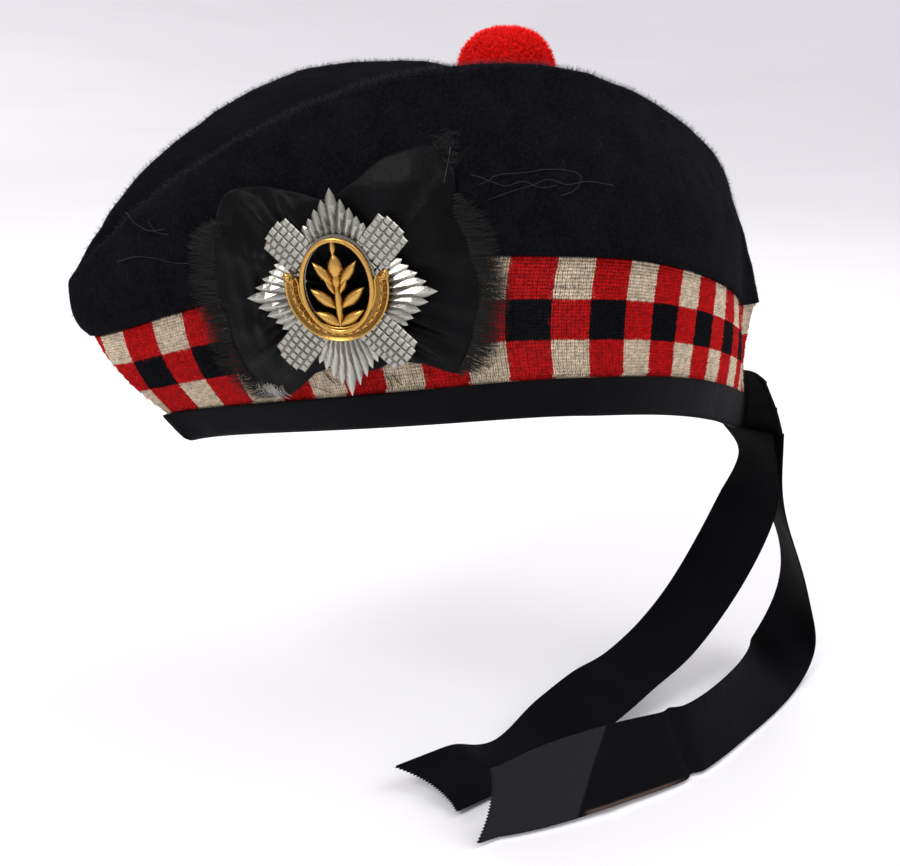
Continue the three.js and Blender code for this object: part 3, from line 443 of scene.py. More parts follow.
def plain_silk(trim):
    """Closely woven black silk: dull black with a fine grain and soft, cloudy creases."""
    m, tree, shader = finish("closely_woven_black_silk", 0.42, Specular_IOR_Level=0.065)
    where = here(tree)
    tone, cloudy = mottle(tree, where, 7.0, 0.3, 0.75, rgba(trim.ribbon, 0.3), rgba(trim.ribbon, 1.1))
    paint(tree, shader, tone)
    first = relief(tree, shader, grain_of(tree, where, 0.5, 1.0), 0.05)
    relief(tree, shader, cloudy, 0.5, first)
    return m


def struck_metal(name, colour, shadow, roughness):
    """Struck badge metal: bright on the high faces, dark in the hollows, a painted shade; its hollow mask
    also paints light and shade across the faces.
    """
    m, tree, shader = finish(name, roughness, 1.0)
    grime, fine = mottle(tree, here(tree), 0.8, 0.6, 0.95, rgba(colour), rgba(shadow))
    # Painted light and shade: the hollow mask mixes the metal towards its shadow colour
    paint(tree, shader, blend(tree, stored(tree, "hollow"), grime, rgba(shadow, 0.6)))
    rough = ranged(tree, fine, 0.3, 0.8, roughness * 0.75, roughness * 1.5)
    tree.links.new(rough, shader.inputs["Roughness"])
    relief(tree, shader, fine, 0.04)
    return m


def loose_thread(name, colour):
    """A single spun thread: dull, lighter and darker along its twist."""
    m, tree, shader = finish(name, 0.7, Specular_IOR_Level=0.3)
    twist, _ = mottle(tree, here(tree), 0.8, 0.3, 0.7, rgba(colour, 0.75), rgba(colour, 1.25))
    paint(tree, shader, twist)
    return m


def clipped_wool(trim):
    """Body of the scarlet ball, seen between its yarn ends: matt, in darker and lighter tufts, and darker
    overall than the ends, a painted shade down in the pile.
    """
    m, tree, shader = finish("clipped_scarlet_wool", 0.95, Sheen_Weight=0.05, Specular_IOR_Level=0.05)
    tone, fine = mottle(tree, here(tree), 1.3, 0.35, 0.7, rgba(trim.toorie, 0.55), rgba(trim.toorie))
    paint(tree, shader, tone)
    relief(tree, shader, fine, 0.8)
    return m


def yarn_tips(trim):
    """Cut ends of the ball's yarn: bright scarlet, each a little lighter or darker."""
    m, tree, shader = finish("clipped_yarn_ends", 0.95, Sheen_Weight=0.05, Specular_IOR_Level=0.05)
    paint(tree, shader, blend(tree, stored(tree, "shade"), rgba(trim.toorie, 0.8), rgba(trim.toorie, 1.25)))
    return m


# Shapes of the hat, in millimetres

def column(table, key, at):
    """Value of one column of a table on a smooth monotone curve."""
    p = [(row["along"], row[key]) for row in table]
    i = 0
    while i < len(p) - 2 and at > p[i + 1][0]:
        i += 1

    def slope(j):
        """Slope of the straight line from row j to the next."""
        return (p[j + 1][1] - p[j][1]) / (p[j + 1][0] - p[j][0])

    def tangent(j):
        """Slope of the curve at row j."""
        if j == 0:
            return slope(0)
        if j == len(p) - 1:
            return slope(j - 1)
        a, b = slope(j - 1), slope(j)
        return 0.0 if a * b <= 0 else 2 * a * b / (a + b)

    w = p[i + 1][0] - p[i][0]
    s = min(1.0, max(0.0, (at - p[i][0]) / w))
    return ((1 + 2 * s) * (1 - s) ** 2 * p[i][1] + s * (1 - s) ** 2 * w * tangent(i)
            + s * s * (3 - 2 * s) * p[i + 1][1] + s * s * (s - 1) * w * tangent(i + 1))


def smooth_path(points, u):
    """Point at share u of a centripetal curve through the points."""
    points = [np.asarray(q, float) for q in points]
    n = len(points)
    place = (n - 1) * u
    i = min(int(place), n - 2)
    f = place - i
    p1, p2 = points[i], points[i + 1]
    p0 = points[i - 1] if i > 0 else 2 * points[0] - points[1]
    p3 = points[i + 2] if i + 2 < n else 2 * points[n - 1] - points[n - 2]
    d0, d1, d2 = (max(1e-9, float((a - b) @ (a - b))) ** 0.25 for a, b in ((p0, p1), (p1, p2), (p2, p3)))
    if d1 < 1e-4:
        d1 = 1.0
    if d0 < 1e-4:
        d0 = d1
    if d2 < 1e-4:
        d2 = d1
    t1 = ((p1 - p0) / d0 - (p2 - p0) / (d0 + d1) + (p2 - p1) / d1) * d1
    t2 = ((p2 - p1) / d1 - (p3 - p1) / (d1 + d2) + (p3 - p2) / d2) * d1
    return p1 + t1 * f + (-3 * p1 + 3 * p2 - 2 * t1 - t2) * f * f + (2 * p1 - 2 * p2 + t1 + t2) * f ** 3


def fullness(level, t):
    """Share of the full half width at each share t from bow to back."""
    w = level["widest"]
    s = np.where(t < w, 1 - t / w, (t - w) / (1 - w))
    power = np.where(t < w, level["bow"], level["stern"])
    root = np.where(t < w, level["bow_root"], level["stern_root"])
    return np.maximum(0, 1 - s ** power) ** (1 / root)


def half_outline(name, t):
    """Left half of the hat's outline at one of its levels, from bow to back."""
    level = LEVELS[name]
    x = HALF_WIDTH * level["half"] * fullness(level, t)
    x[0] = x[-1] = 0.0
    fin = np.where(t > 0.5, level["fin"] * FIN_REACH * np.exp(-x / FIN_REACH), 0)
    y = HALF_LENGTH * (level["front"] + (level["back"] - level["front"]) * t) + fin
    z = RIDGE_HEIGHT * (level["front_z"] * (1 - t) * (1 - 2 * t) + level["mid_z"] * 4 * t * (1 - t)
                        + level["back_z"] * t * (2 * t - 1))
    return np.stack([x, y, z], -1)


def spread(n):
    """Shares from 0 to 1 that crowd towards both ends."""
    return (1 - np.cos(np.pi * np.arange(n + 1) / n)) / 2


def ring(half):
    """A half outline and its mirror image as one ring."""
    return np.vstack([half, half[-2:0:-1] * (-1, 1, 1)])


def unit(v):
    """Vectors of length one."""
    return v / np.maximum(1e-9, np.linalg.norm(v, axis=-1, keepdims=True))


def outward(points):
    """Level outward directions of a ring, longer where it turns."""
    flat = points * (1, 1, 0)
    a = unit(flat - np.roll(flat, 1, 0))
    b = unit(np.roll(flat, -1, 0) - flat)
    na = np.stack([a[:, 1], -a[:, 0], 0 * a[:, 0]], -1)
    nb = np.stack([b[:, 1], -b[:, 0], 0 * b[:, 0]], -1)
    m = unit(na + nb)
    return m * np.minimum(1 / np.maximum((m * na).sum(1), 0.3), 1.5)[:, None]


def cornered(points):
    """An inner ring drawn back to its corners at the bow and the back."""
    n = len(points)
    half = n // 2
    out = points.copy()
    for start, way in ((0, 1), (half, -1)):
        k = 0
        while k < half // 2 and points[(start + way * (k + 1)) % n][0] < -1e-4:
            k += 1
        if k == 0:
            continue
        a, b = points[(start + way * k) % n], points[(start + way * (k + 1)) % n]
        corner = a + (b - a) * (a[0] / (a[0] - b[0]))
        corner[0] = 0
        for j in range(k + 1):
            out[(start + way * j) % n] = corner
            out[(start - way * j) % n] = corner
    return out


def run_along(points):
    """Distance of each point from the first, along the line."""
    return np.concatenate([[0], np.cumsum(np.linalg.norm(np.diff(points, axis=0), axis=1))])


def key_of(point_mm, per_mm):
    """A point rounded to steps, to find it again in a mesh."""
    return tuple(np.round(point_mm * per_mm).astype(int))


def grid_faces(rows, cols, wrap_rows, wrap_cols):
    """Four-sided faces of a grid of points, closed either way or open."""
    out = []
    for r in range(rows if wrap_rows else rows - 1):
        r2 = (r + 1) % rows
        for c in range(cols if wrap_cols else cols - 1):
            d = (c + 1) % cols
            out.append((r * cols + c, r * cols + d, r2 * cols + d, r2 * cols + c))
    return out


def sleeve(base, rows, cols, wrap_rows=False):
    """Faces of a tube whose points start at base, one row after another."""
    return [tuple(base + i for i in f) for f in grid_faces(rows, cols, wrap_rows, True)]


def piece(name, points_mm, faces, material=None, uv=None, closed=True, smooth=True, merge=True):
    """A mesh object in the CAD's place; uv gives a pair in millimetres for each point."""
    mesh = bpy.data.meshes.new(name)
    mesh.from_pydata([tuple(p) for p in np.asarray(points_mm) * MM], [], [tuple(f) for f in faces])
    if uv is not None:
        layer = mesh.uv_layers.new(name="ribbon")
        index = np.empty(len(mesh.loops), np.int32)
        mesh.loops.foreach_get("vertex_index", index)
        layer.data.foreach_set("uv", np.asarray(uv, np.float32)[index].ravel())
    if merge or closed:
        bm = bmesh.new()
        bm.from_mesh(mesh)
        if merge:
            bmesh.ops.remove_doubles(bm, verts=bm.verts, dist=1e-6)
        if closed:
            bmesh.ops.recalc_face_normals(bm, faces=bm.faces)
        bm.to_mesh(mesh)
        bm.free()
    mesh.polygons.foreach_set("use_smooth", np.full(len(mesh.polygons), smooth))
    mesh.update()
    obj = bpy.data.objects.new(name, mesh)
    bpy.context.scene.collection.objects.link(obj)
    if material is not None:
        mesh.materials.append(material)
    return obj


def settle(obj):
    """Leaves what the object's modifiers make as its plain mesh."""
    bpy.context.view_layer.update()
    shown = obj.evaluated_get(bpy.context.evaluated_depsgraph_get())
    mesh = bpy.data.meshes.new_from_object(shown)
    obj.modifiers.clear()
    obj.data = mesh


def wear(obj, slot, *nodes):
    """Rides the piece on the hat, in place of its CAD nodes; its slot argument is not used."""
    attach(obj, "root")
    if nodes:
        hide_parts(*nodes)


def lumps(p, size, seed=0.0):
    """Soft unevenness at a place, with lumps of this size in millimetres."""
    return noise.noise(Vector((p[0] / size + seed, p[1] / size + 2.3 * seed, p[2] / size - seed)))


# Repeats made with geometry nodes

def group_with(name, sockets):
    """A new tree with geometry in and out and these named inputs."""
    tree = bpy.data.node_groups.new(name, "GeometryNodeTree")
    tree.interface.new_socket("Geometry", in_out="INPUT", socket_type="NodeSocketGeometry")
    for label, kind in sockets:
        tree.interface.new_socket(label, in_out="INPUT", socket_type="NodeSocket" + kind)
    tree.interface.new_socket("Geometry", in_out="OUTPUT", socket_type="NodeSocketGeometry")
    return tree, add(tree, "NodeGroupInput")


def use(obj, tree, **values):
    """Adds the tree to the object, each input set by its socket's identifier."""
    mod = obj.modifiers.new(tree.name, "NODES")
    mod.node_group = tree
    for item in tree.interface.items_tree:
        key = item.name.lower().replace(" ", "_")
        if item.in_out == "INPUT" and key in values:
            mod[item.identifier] = values[key]
    return mod


def stitch_tree():
    """One unit on each point, turned and sized by the point's own attributes."""
    tree, start = group_with("repeat_on_points", [("Unit", "Object"), ("Size", "Float"),
                                                  ("Finish", "Material")])
    unit_in = add(tree, "GeometryNodeObjectInfo", {"Object": start.outputs["Unit"]})
    turn = add(tree, "GeometryNodeInputNamedAttribute", {"Name": "turn"}, data_type="FLOAT_VECTOR")
    grow = add(tree, "GeometryNodeInputNamedAttribute", {"Name": "grow"}, data_type="FLOAT_VECTOR")
    scaled = add(tree, "ShaderNodeVectorMath", {0: grow.outputs["Attribute"],
                                                "Scale": start.outputs["Size"]}, operation="SCALE")
    dots = add(tree, "GeometryNodeMeshToPoints", {"Mesh": start.outputs["Geometry"]})
    placed = add(tree, "GeometryNodeInstanceOnPoints", {
        "Points": dots.outputs[0], "Instance": unit_in.outputs["Geometry"],
        "Rotation": turn.outputs["Attribute"], "Scale": scaled.outputs[0]})
    real = add(tree, "GeometryNodeRealizeInstances", {"Geometry": placed.outputs[0]})
    done = add(tree, "GeometryNodeSetMaterial", {"Geometry": real.outputs[0],
                                                 "Material": start.outputs["Finish"]})
    add(tree, "NodeGroupOutput", {"Geometry": done.outputs[0]})
    return tree


def pile_tree():
    """Fibres scattered over a surface, each leaning, turned and cut to its own length."""
    tree, start = group_with("pile_on_surface", [
        ("Unit", "Object"), ("Density", "Float"), ("Seed", "Int"), ("Shortest", "Float"),
        ("Longest", "Float"), ("Lean", "Float"), ("Finish", "Material")])
    unit_in = add(tree, "GeometryNodeObjectInfo", {"Object": start.outputs["Unit"]})
    dots = add(tree, "GeometryNodeDistributePointsOnFaces", {
        "Mesh": start.outputs["Geometry"], "Density": start.outputs["Density"],
        "Seed": start.outputs["Seed"]})
    down = add(tree, "ShaderNodeMath", {0: start.outputs["Lean"], 1: -1.0}, operation="MULTIPLY")
    low = add(tree, "ShaderNodeCombineXYZ", {0: down.outputs[0], 1: down.outputs[0], 2: 0.0})
    high = add(tree, "ShaderNodeCombineXYZ", {0: start.outputs["Lean"], 1: start.outputs["Lean"],
                                              2: 2 * math.pi})
    lean = add(tree, "FunctionNodeRandomValue", {0: low.outputs[0], 1: high.outputs[0],
                                                 "Seed": 11}, data_type="FLOAT_VECTOR")
    turned = add(tree, "FunctionNodeRotateRotation", {0: dots.outputs["Rotation"],
                                                      1: lean.outputs[0]}, rotation_space="LOCAL")
    length = add(tree, "FunctionNodeRandomValue", {2: start.outputs["Shortest"],
                                                   3: start.outputs["Longest"], "Seed": 12})
    shade = add(tree, "FunctionNodeRandomValue", {"Seed": 13})
    placed = add(tree, "GeometryNodeInstanceOnPoints", {
        "Points": dots.outputs["Points"], "Instance": unit_in.outputs["Geometry"],
        "Rotation": turned.outputs[0], "Scale": length.outputs[1]})
    tinted = add(tree, "GeometryNodeStoreNamedAttribute", {
        "Geometry": placed.outputs[0], "Name": "shade", "Value": shade.outputs[1]},
        data_type="FLOAT", domain="INSTANCE")
    real = add(tree, "GeometryNodeRealizeInstances", {"Geometry": tinted.outputs[0]})
    done = add(tree, "GeometryNodeSetMaterial", {"Geometry": real.outputs[0],
                                                 "Material": start.outputs["Finish"]})
    add(tree, "NodeGroupOutput", {"Geometry": done.outputs[0]})
    return tree


def fibre(name, thickness, bend):
    """A tapered fibre one unit long with three sides, for a tree to repeat."""
    sides = 3
    points, faces = [], []
    for z, r in ((0.0, 1.0), (0.55, 0.8)):
        for k in range(sides):
            a = 2 * math.pi * k / sides
            points.append((thickness * r * math.cos(a) + bend * z * z, thickness * r * math.sin(a), z))
    points.append((bend, 0, 1.0))
    for k in range(sides):
        d = (k + 1) % sides
        faces += [(k, d, sides + d, sides + k), (sides + k, sides + d, 2 * sides)]
    faces.append(tuple(range(sides))[::-1])
    return piece(name, np.array(points) / MM, faces, merge=False)


def bristle(name, thickness):
    """A short straight fibre one unit long with only four faces."""
    points = [(thickness * math.cos(a), thickness * math.sin(a), 0) for a in (0.3, 2.4, 4.5)] + [(0, 0, 1)]
    return piece(name, np.array(points) / MM, [(0, 1, 3), (1, 2, 3), (2, 0, 3), (2, 1, 0)], merge=False)


def discard(*objs):
    """Removes the units that trees have repeated."""
    for o in objs:
        bpy.data.objects.remove(o, do_unlink=True)


def hit_surface(nodes):
    """A tester that finds where a line first meets the given CAD nodes."""
    trees = []
    for n in nodes:
        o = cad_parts[n]
        trees.append(BVHTree.FromPolygons([v.co[:] for v in o.data.vertices],
                                          [p.vertices[:] for p in o.data.polygons]))

    def cast(origin_mm, direction):
        """First place met, its outward direction and how far off it is, or nothing."""
        best = None
        for tree in trees:
            p, n, _, d = tree.ray_cast(Vector(origin_mm) * MM, Vector(direction))
            if p is not None and (best is None or d < best[2]):
                best = (np.array(p) / MM, np.array(n), d)
        return best
    return cast


def face(s, h, w):
    """A place in the badge's frame."""
    return BADGE_AT + FACE_BACK * s + FACE_UP * h + FACE_OUT * w


def leaning(s, h, w):
    """A place in the badge's frame, turned with the badge's own lean."""
    c, k = math.cos(BADGE_LEAN), math.sin(BADGE_LEAN)
    return face(s * c - h * k, s * k + h * c, w)


def wall_heights(pitch=2.0, reach=29):
    """Height of the hat's wall behind each place of the badge's frame, the highest within reach."""
    cast = hit_surface(("crown", "diced_band", "binding"))
    n = 2 * reach + 1
    raw = np.full((n, n), -40.0)
    for i in range(n):
        for j in range(n):
            found = cast(face((i - reach) * pitch, (j - reach) * pitch, 50.0), -FACE_OUT)
            if found:
                raw[i, j] = 50.0 - found[2] / MM
    high = raw.copy()
    for a, b in ((1, 0), (-1, 0), (0, 1), (0, -1)):
        high = np.maximum(high, np.roll(raw, (a, b), (0, 1)))

    def at(s, h):
        """Height at this place, between the four nearest that were measured."""
        u = min(max(s / pitch + reach, 0), n - 1.001)
        v = min(max(h / pitch + reach, 0), n - 1.001)
        i, j = int(u), int(v)
        f, g = u - i, v - j
        return ((high[i, j] * (1 - f) + high[i + 1, j] * f) * (1 - g)
                + (high[i, j + 1] * (1 - f) + high[i + 1, j + 1] * f) * g)
    return at


class GLENGARRY_OT_stage(bpy.types.Operator):
    """Sets the pale floor, the soft lights and the camera"""
    bl_idname = "glengarry.stage"
    bl_label = "Stage"

    def execute(self, context):
        context.scene.view_settings.view_transform = "Standard"
        around, points = 96, [(0, 0, -TAIL_DROP - FLOOR_BELOW)]
        for k in range(1, FLOOR_RINGS + 1):
            r = FLOOR_REACH * (k / FLOOR_RINGS) ** 1.5
            rise = FLOOR_RISE * max(0.0, (r - FLOOR_LEVEL) / (FLOOR_REACH - FLOOR_LEVEL)) ** 2
            points += [(r * math.cos(2 * math.pi * j / around), r * math.sin(2 * math.pi * j / around),
                        rise - TAIL_DROP - FLOOR_BELOW) for j in range(around)]
        faces = [(0, 1 + j, 1 + (j + 1) % around) for j in range(around)]
        faces += [tuple(1 + i for i in f) for f in grid_faces(FLOOR_RINGS, around, False, True)]
        floor = piece("floor", points, [f[::-1] if len(f) == 4 else f for f in faces],
                      painted_board(), closed=False, merge=False)
        eye = bpy.data.cameras.new("eye")
        eye.lens = FOCAL_PX / IMAGE[0] * 36
        eye.sensor_width = 36
        eye.clip_start = 0.01
        eye.clip_end = 60
        camera = bpy.data.objects.new("eye", eye)
        context.scene.collection.objects.link(camera)
        back = -LOOK
        turn = Matrix((EYE_RIGHT, EYE_UP, back)).transposed().to_4x4()
        camera.matrix_world = Matrix.Translation(Vector(EYE * MM)) @ turn
        context.scene.camera = camera
        world = bpy.data.worlds.new("room")
        world.use_nodes = True
        world.node_tree.nodes["Background"].inputs[0].default_value = rgba(linear("#f4f2f8"))
        world.node_tree.nodes["Background"].inputs[1].default_value = 0.8
        context.scene.world = world
        hat = (0, 0, 0.03)
        ahead = unit(LOOK * (1, 1, 0))
        beside = EYE * MM + ahead * 2.2 - EYE_RIGHT * 2.4
        board = EYE * MM + ahead * 3.9 - EYE_RIGHT * 1.4
        # Lamps: place in metres, watts, width in metres and what it is aimed at
        for name, at, power, width, target in (
                ("window", (0.75, -0.95, 1.15), 12.0, 0.7, hat),
                ("overhead", (0.35, 0.75, 1.2), 8.0, 1.3, hat),
                ("back", (-0.9, -0.3, 1.0), 3.5, 0.8, hat),
                ("backdrop", (beside[0], beside[1], 1.5), BACKDROP_WATTS, 1.6, (board[0], board[1], 0.1))):
            lamp = bpy.data.lights.new(name, "AREA")
            lamp.energy = power
            lamp.shape = "DISK"
            lamp.size = width
            obj = bpy.data.objects.new(name, lamp)
            obj.location = at
            aim = Vector(target) - Vector(at)
            obj.rotation_euler = aim.to_track_quat("-Z", "Y").to_euler()
            context.scene.collection.objects.link(obj)
        return {"FINISHED"}


def crown_rows(n, steps):
    """Outer rows of the crown from the head of the band to the crease."""
    t = spread(n)
    head = half_outline("head", t)
    out = unit(outward(ring(head)))
    wall_steps, top_steps = int(steps * 0.34), int(steps * 0.42)
    shares = np.concatenate([np.linspace(0, 0.34, wall_steps), np.linspace(0.36, 0.62, top_steps),
                             np.linspace(0.65, 1.0, steps - wall_steps - top_steps)])
    columns = []
    for i in range(n + 1):
        half = column(CROWN, "half", t[i])
        end = i in (0, n)
        scale = min(1.0, 0.25 + half)
        top = np.array([0 if end else RIDGE_HALF * half, HALF_LENGTH * (NOSE + (SEAM - NOSE) * t[i]),
                        RIDGE_HEIGHT * column(CROWN, "top", t[i])])
        depth = CREASE_DEPTH * column(CROWN, "crease", t[i])
        crease = np.array([0, top[1] * 0.97, top[2] - depth])
        foot = head[i] + out[i] * LIP
        foot[2] = head[i][2] + GAP
        shoulder = top + out[i] * SHOULDER_OUT * scale - (0, 0, SHOULDER_DROP * scale)
        wall = np.linalg.norm(shoulder - foot)
        belly = (foot + (shoulder - foot) * column(CROWN, "low", t[i])
                 + out[i] * wall * column(CROWN, "bulge", t[i]))
        inward = crease - top
        inner = top + inward * 0.16 + (0, 0, depth * 0.05)
        valley = crease - inward * 0.25 - (0, 0, depth * 0.04)
        line = [foot, belly, shoulder, top, inner, valley, crease]
        points = np.array([smooth_path(line, s) for s in shares])
        if end:
            points[:, 0] = 0
        columns.append(points)
    columns = np.array(columns)
    return [ring(columns[:, r]) for r in range(len(shares))]


def row_normals(rows):
    """Outward directions of the crown's rows, level with its middle at both ends."""
    grid = np.array(rows)
    du = np.roll(grid, -1, 1) - np.roll(grid, 1, 1)
    dv = np.gradient(grid, axis=0)
    n = unit(np.cross(du, dv))
    flip = np.sign((n[0] * outward(grid[0])).sum(-1))[None, :, None]
    n = n * np.where(flip == 0, 1, flip)
    n[-1, :, 0] = 0
    half = grid.shape[1] // 2
    n[:, (0, half), 0] = 0
    return unit(n)


class GLENGARRY_OT_crown(bpy.types.Operator):
    """Makes the milled wool crown and the nap that stands off it"""
    bl_idname = "glengarry.crown"
    bl_label = "Crown"

    def execute(self, context):
        cloth = context.scene.glengarry_cloth
        rows = crown_rows(CROWN_COLUMNS, CROWN_STEPS)
        normals = row_normals(rows)
        outer = []
        for r, row in enumerate(rows):
            fade = min(1.0, r / 5)
            lift = [fade * (0.9 * lumps(p, 26.0) + 0.45 * lumps(p, 9.0, 3.1) + 0.12 * lumps(p, 3.0, 7.0))
                    for p in row]
            outer.append(row + normals[r] * np.array(lift)[:, None])
        inner = []
        for r, row in enumerate(rows):
            turns = unit(outward(row)) if r == 0 else normals[r]
            inner.append(cornered(row - turns * (FELT - 0.2)))
        loop = outer[::-1] + inner
        points = np.vstack(loop)
        crown = piece("crown_felt", points, grid_faces(len(loop), len(rows[0]), False, True),
                      milled_wool(cloth))
        wear(crown, "crown_wool", "crown")
        # The felt down in the crease is painted darker, a painted shade, from just inside the two ridges
        lookup = {}
        for r, row in enumerate(outer):
            for q in row:
                lookup[key_of(q, 50)] = min(1.0, max(0.0, (r - CREASE_ROW) / 8))
        marks = [lookup.get(key_of(np.array(v.co) / MM, 50), 0.0) for v in crown.data.vertices]
        layer = crown.data.attributes.new("painted_crease_shade", "FLOAT", "POINT")
        layer.data.foreach_set("value", np.array(marks, np.float32))
        open_rows, crease_rows = outer[:CREASE_ROW + 4], outer[CREASE_ROW + 3:]
        unit_obj = bristle("nap_fibre", 0.03)
        highlight_rows = outer[RIDGE_ROW:CREASE_ROW + 2]
        # Naps: rows they stand on, colours, seed, share of the panel's density, and lean
        for name, part, colour, stray, seed, crowd, lean in (
                ("crown_nap", open_rows, "#0d0d10", "#35333a", 4, 1.3, 1.25),
                # The crease nap's darker colours are painted shade down in the crease
                ("crease_nap", crease_rows, "#08080a", "#201f24", 5, 1.0, 1.25),
                # The ridge nap's lighter colours are a painted highlight along the top of the ridges
                ("ridge_nap", highlight_rows, "#2b2b34", "#504e58", 6, 6.0, 0.7)):
            skin = piece(name, np.vstack(part[::-1]), grid_faces(len(part), len(rows[0]), False, True))
            use(skin, pile_tree(), unit=unit_obj, density=cloth.fuzz_count * 1e4 * crowd, seed=seed,
                shortest=0.35 * cloth.fuzz, longest=cloth.fuzz, lean=lean,
                finish=wool_fibre("loose_nap_fibre_" + name, linear(colour), linear(stray)))
            settle(skin)
            wear(skin, "crown_wool")
        discard(unit_obj)
        return {"FINISHED"}


def dye_of(wale, course, cloth):
    """Colour of a stitch, from the three rows of squares."""
    red_column = wale % (RED_WALES + WHITE_WALES) < RED_WALES
    middle = course // SQUARE_COURSES == 1
    if red_column:
        return tuple(cloth.dark) if middle else tuple(cloth.red)
    return tuple(cloth.red) if middle else tuple(cloth.white)


def belly_of(row, v):
    """How far the band stands out at height share v, more at the bow."""
    back = (row[:, 1] - row[0, 1]) / BOW_SPREAD
    return ((BAND_PUFF + BOW_PUFF * np.exp(-back ** 2)) * 4 * v * (1 - v))[:, None]


def drawn_in(row, v):
    """The ring of the band at height share v, with its back end pulled forward at half height."""
    stern = (row[:, 1] - row[:, 1].max()) / STERN_SPREAD
    row = row.copy()
    row[:, 1] -= STERN_PINCH * 4 * v * (1 - v) * np.exp(-stern ** 2)
    return row


def band_ring(v, n=420, proud=0.0):
    """The band's outer ring at height share v, with its outward directions."""
    t = spread(n)
    foot, head = ring(half_outline("foot", t)), ring(half_outline("head", t))
    row = foot + (head - foot) * v
    out = outward(row)
    return drawn_in(row + out * (belly_of(row, v) + proud), v), out


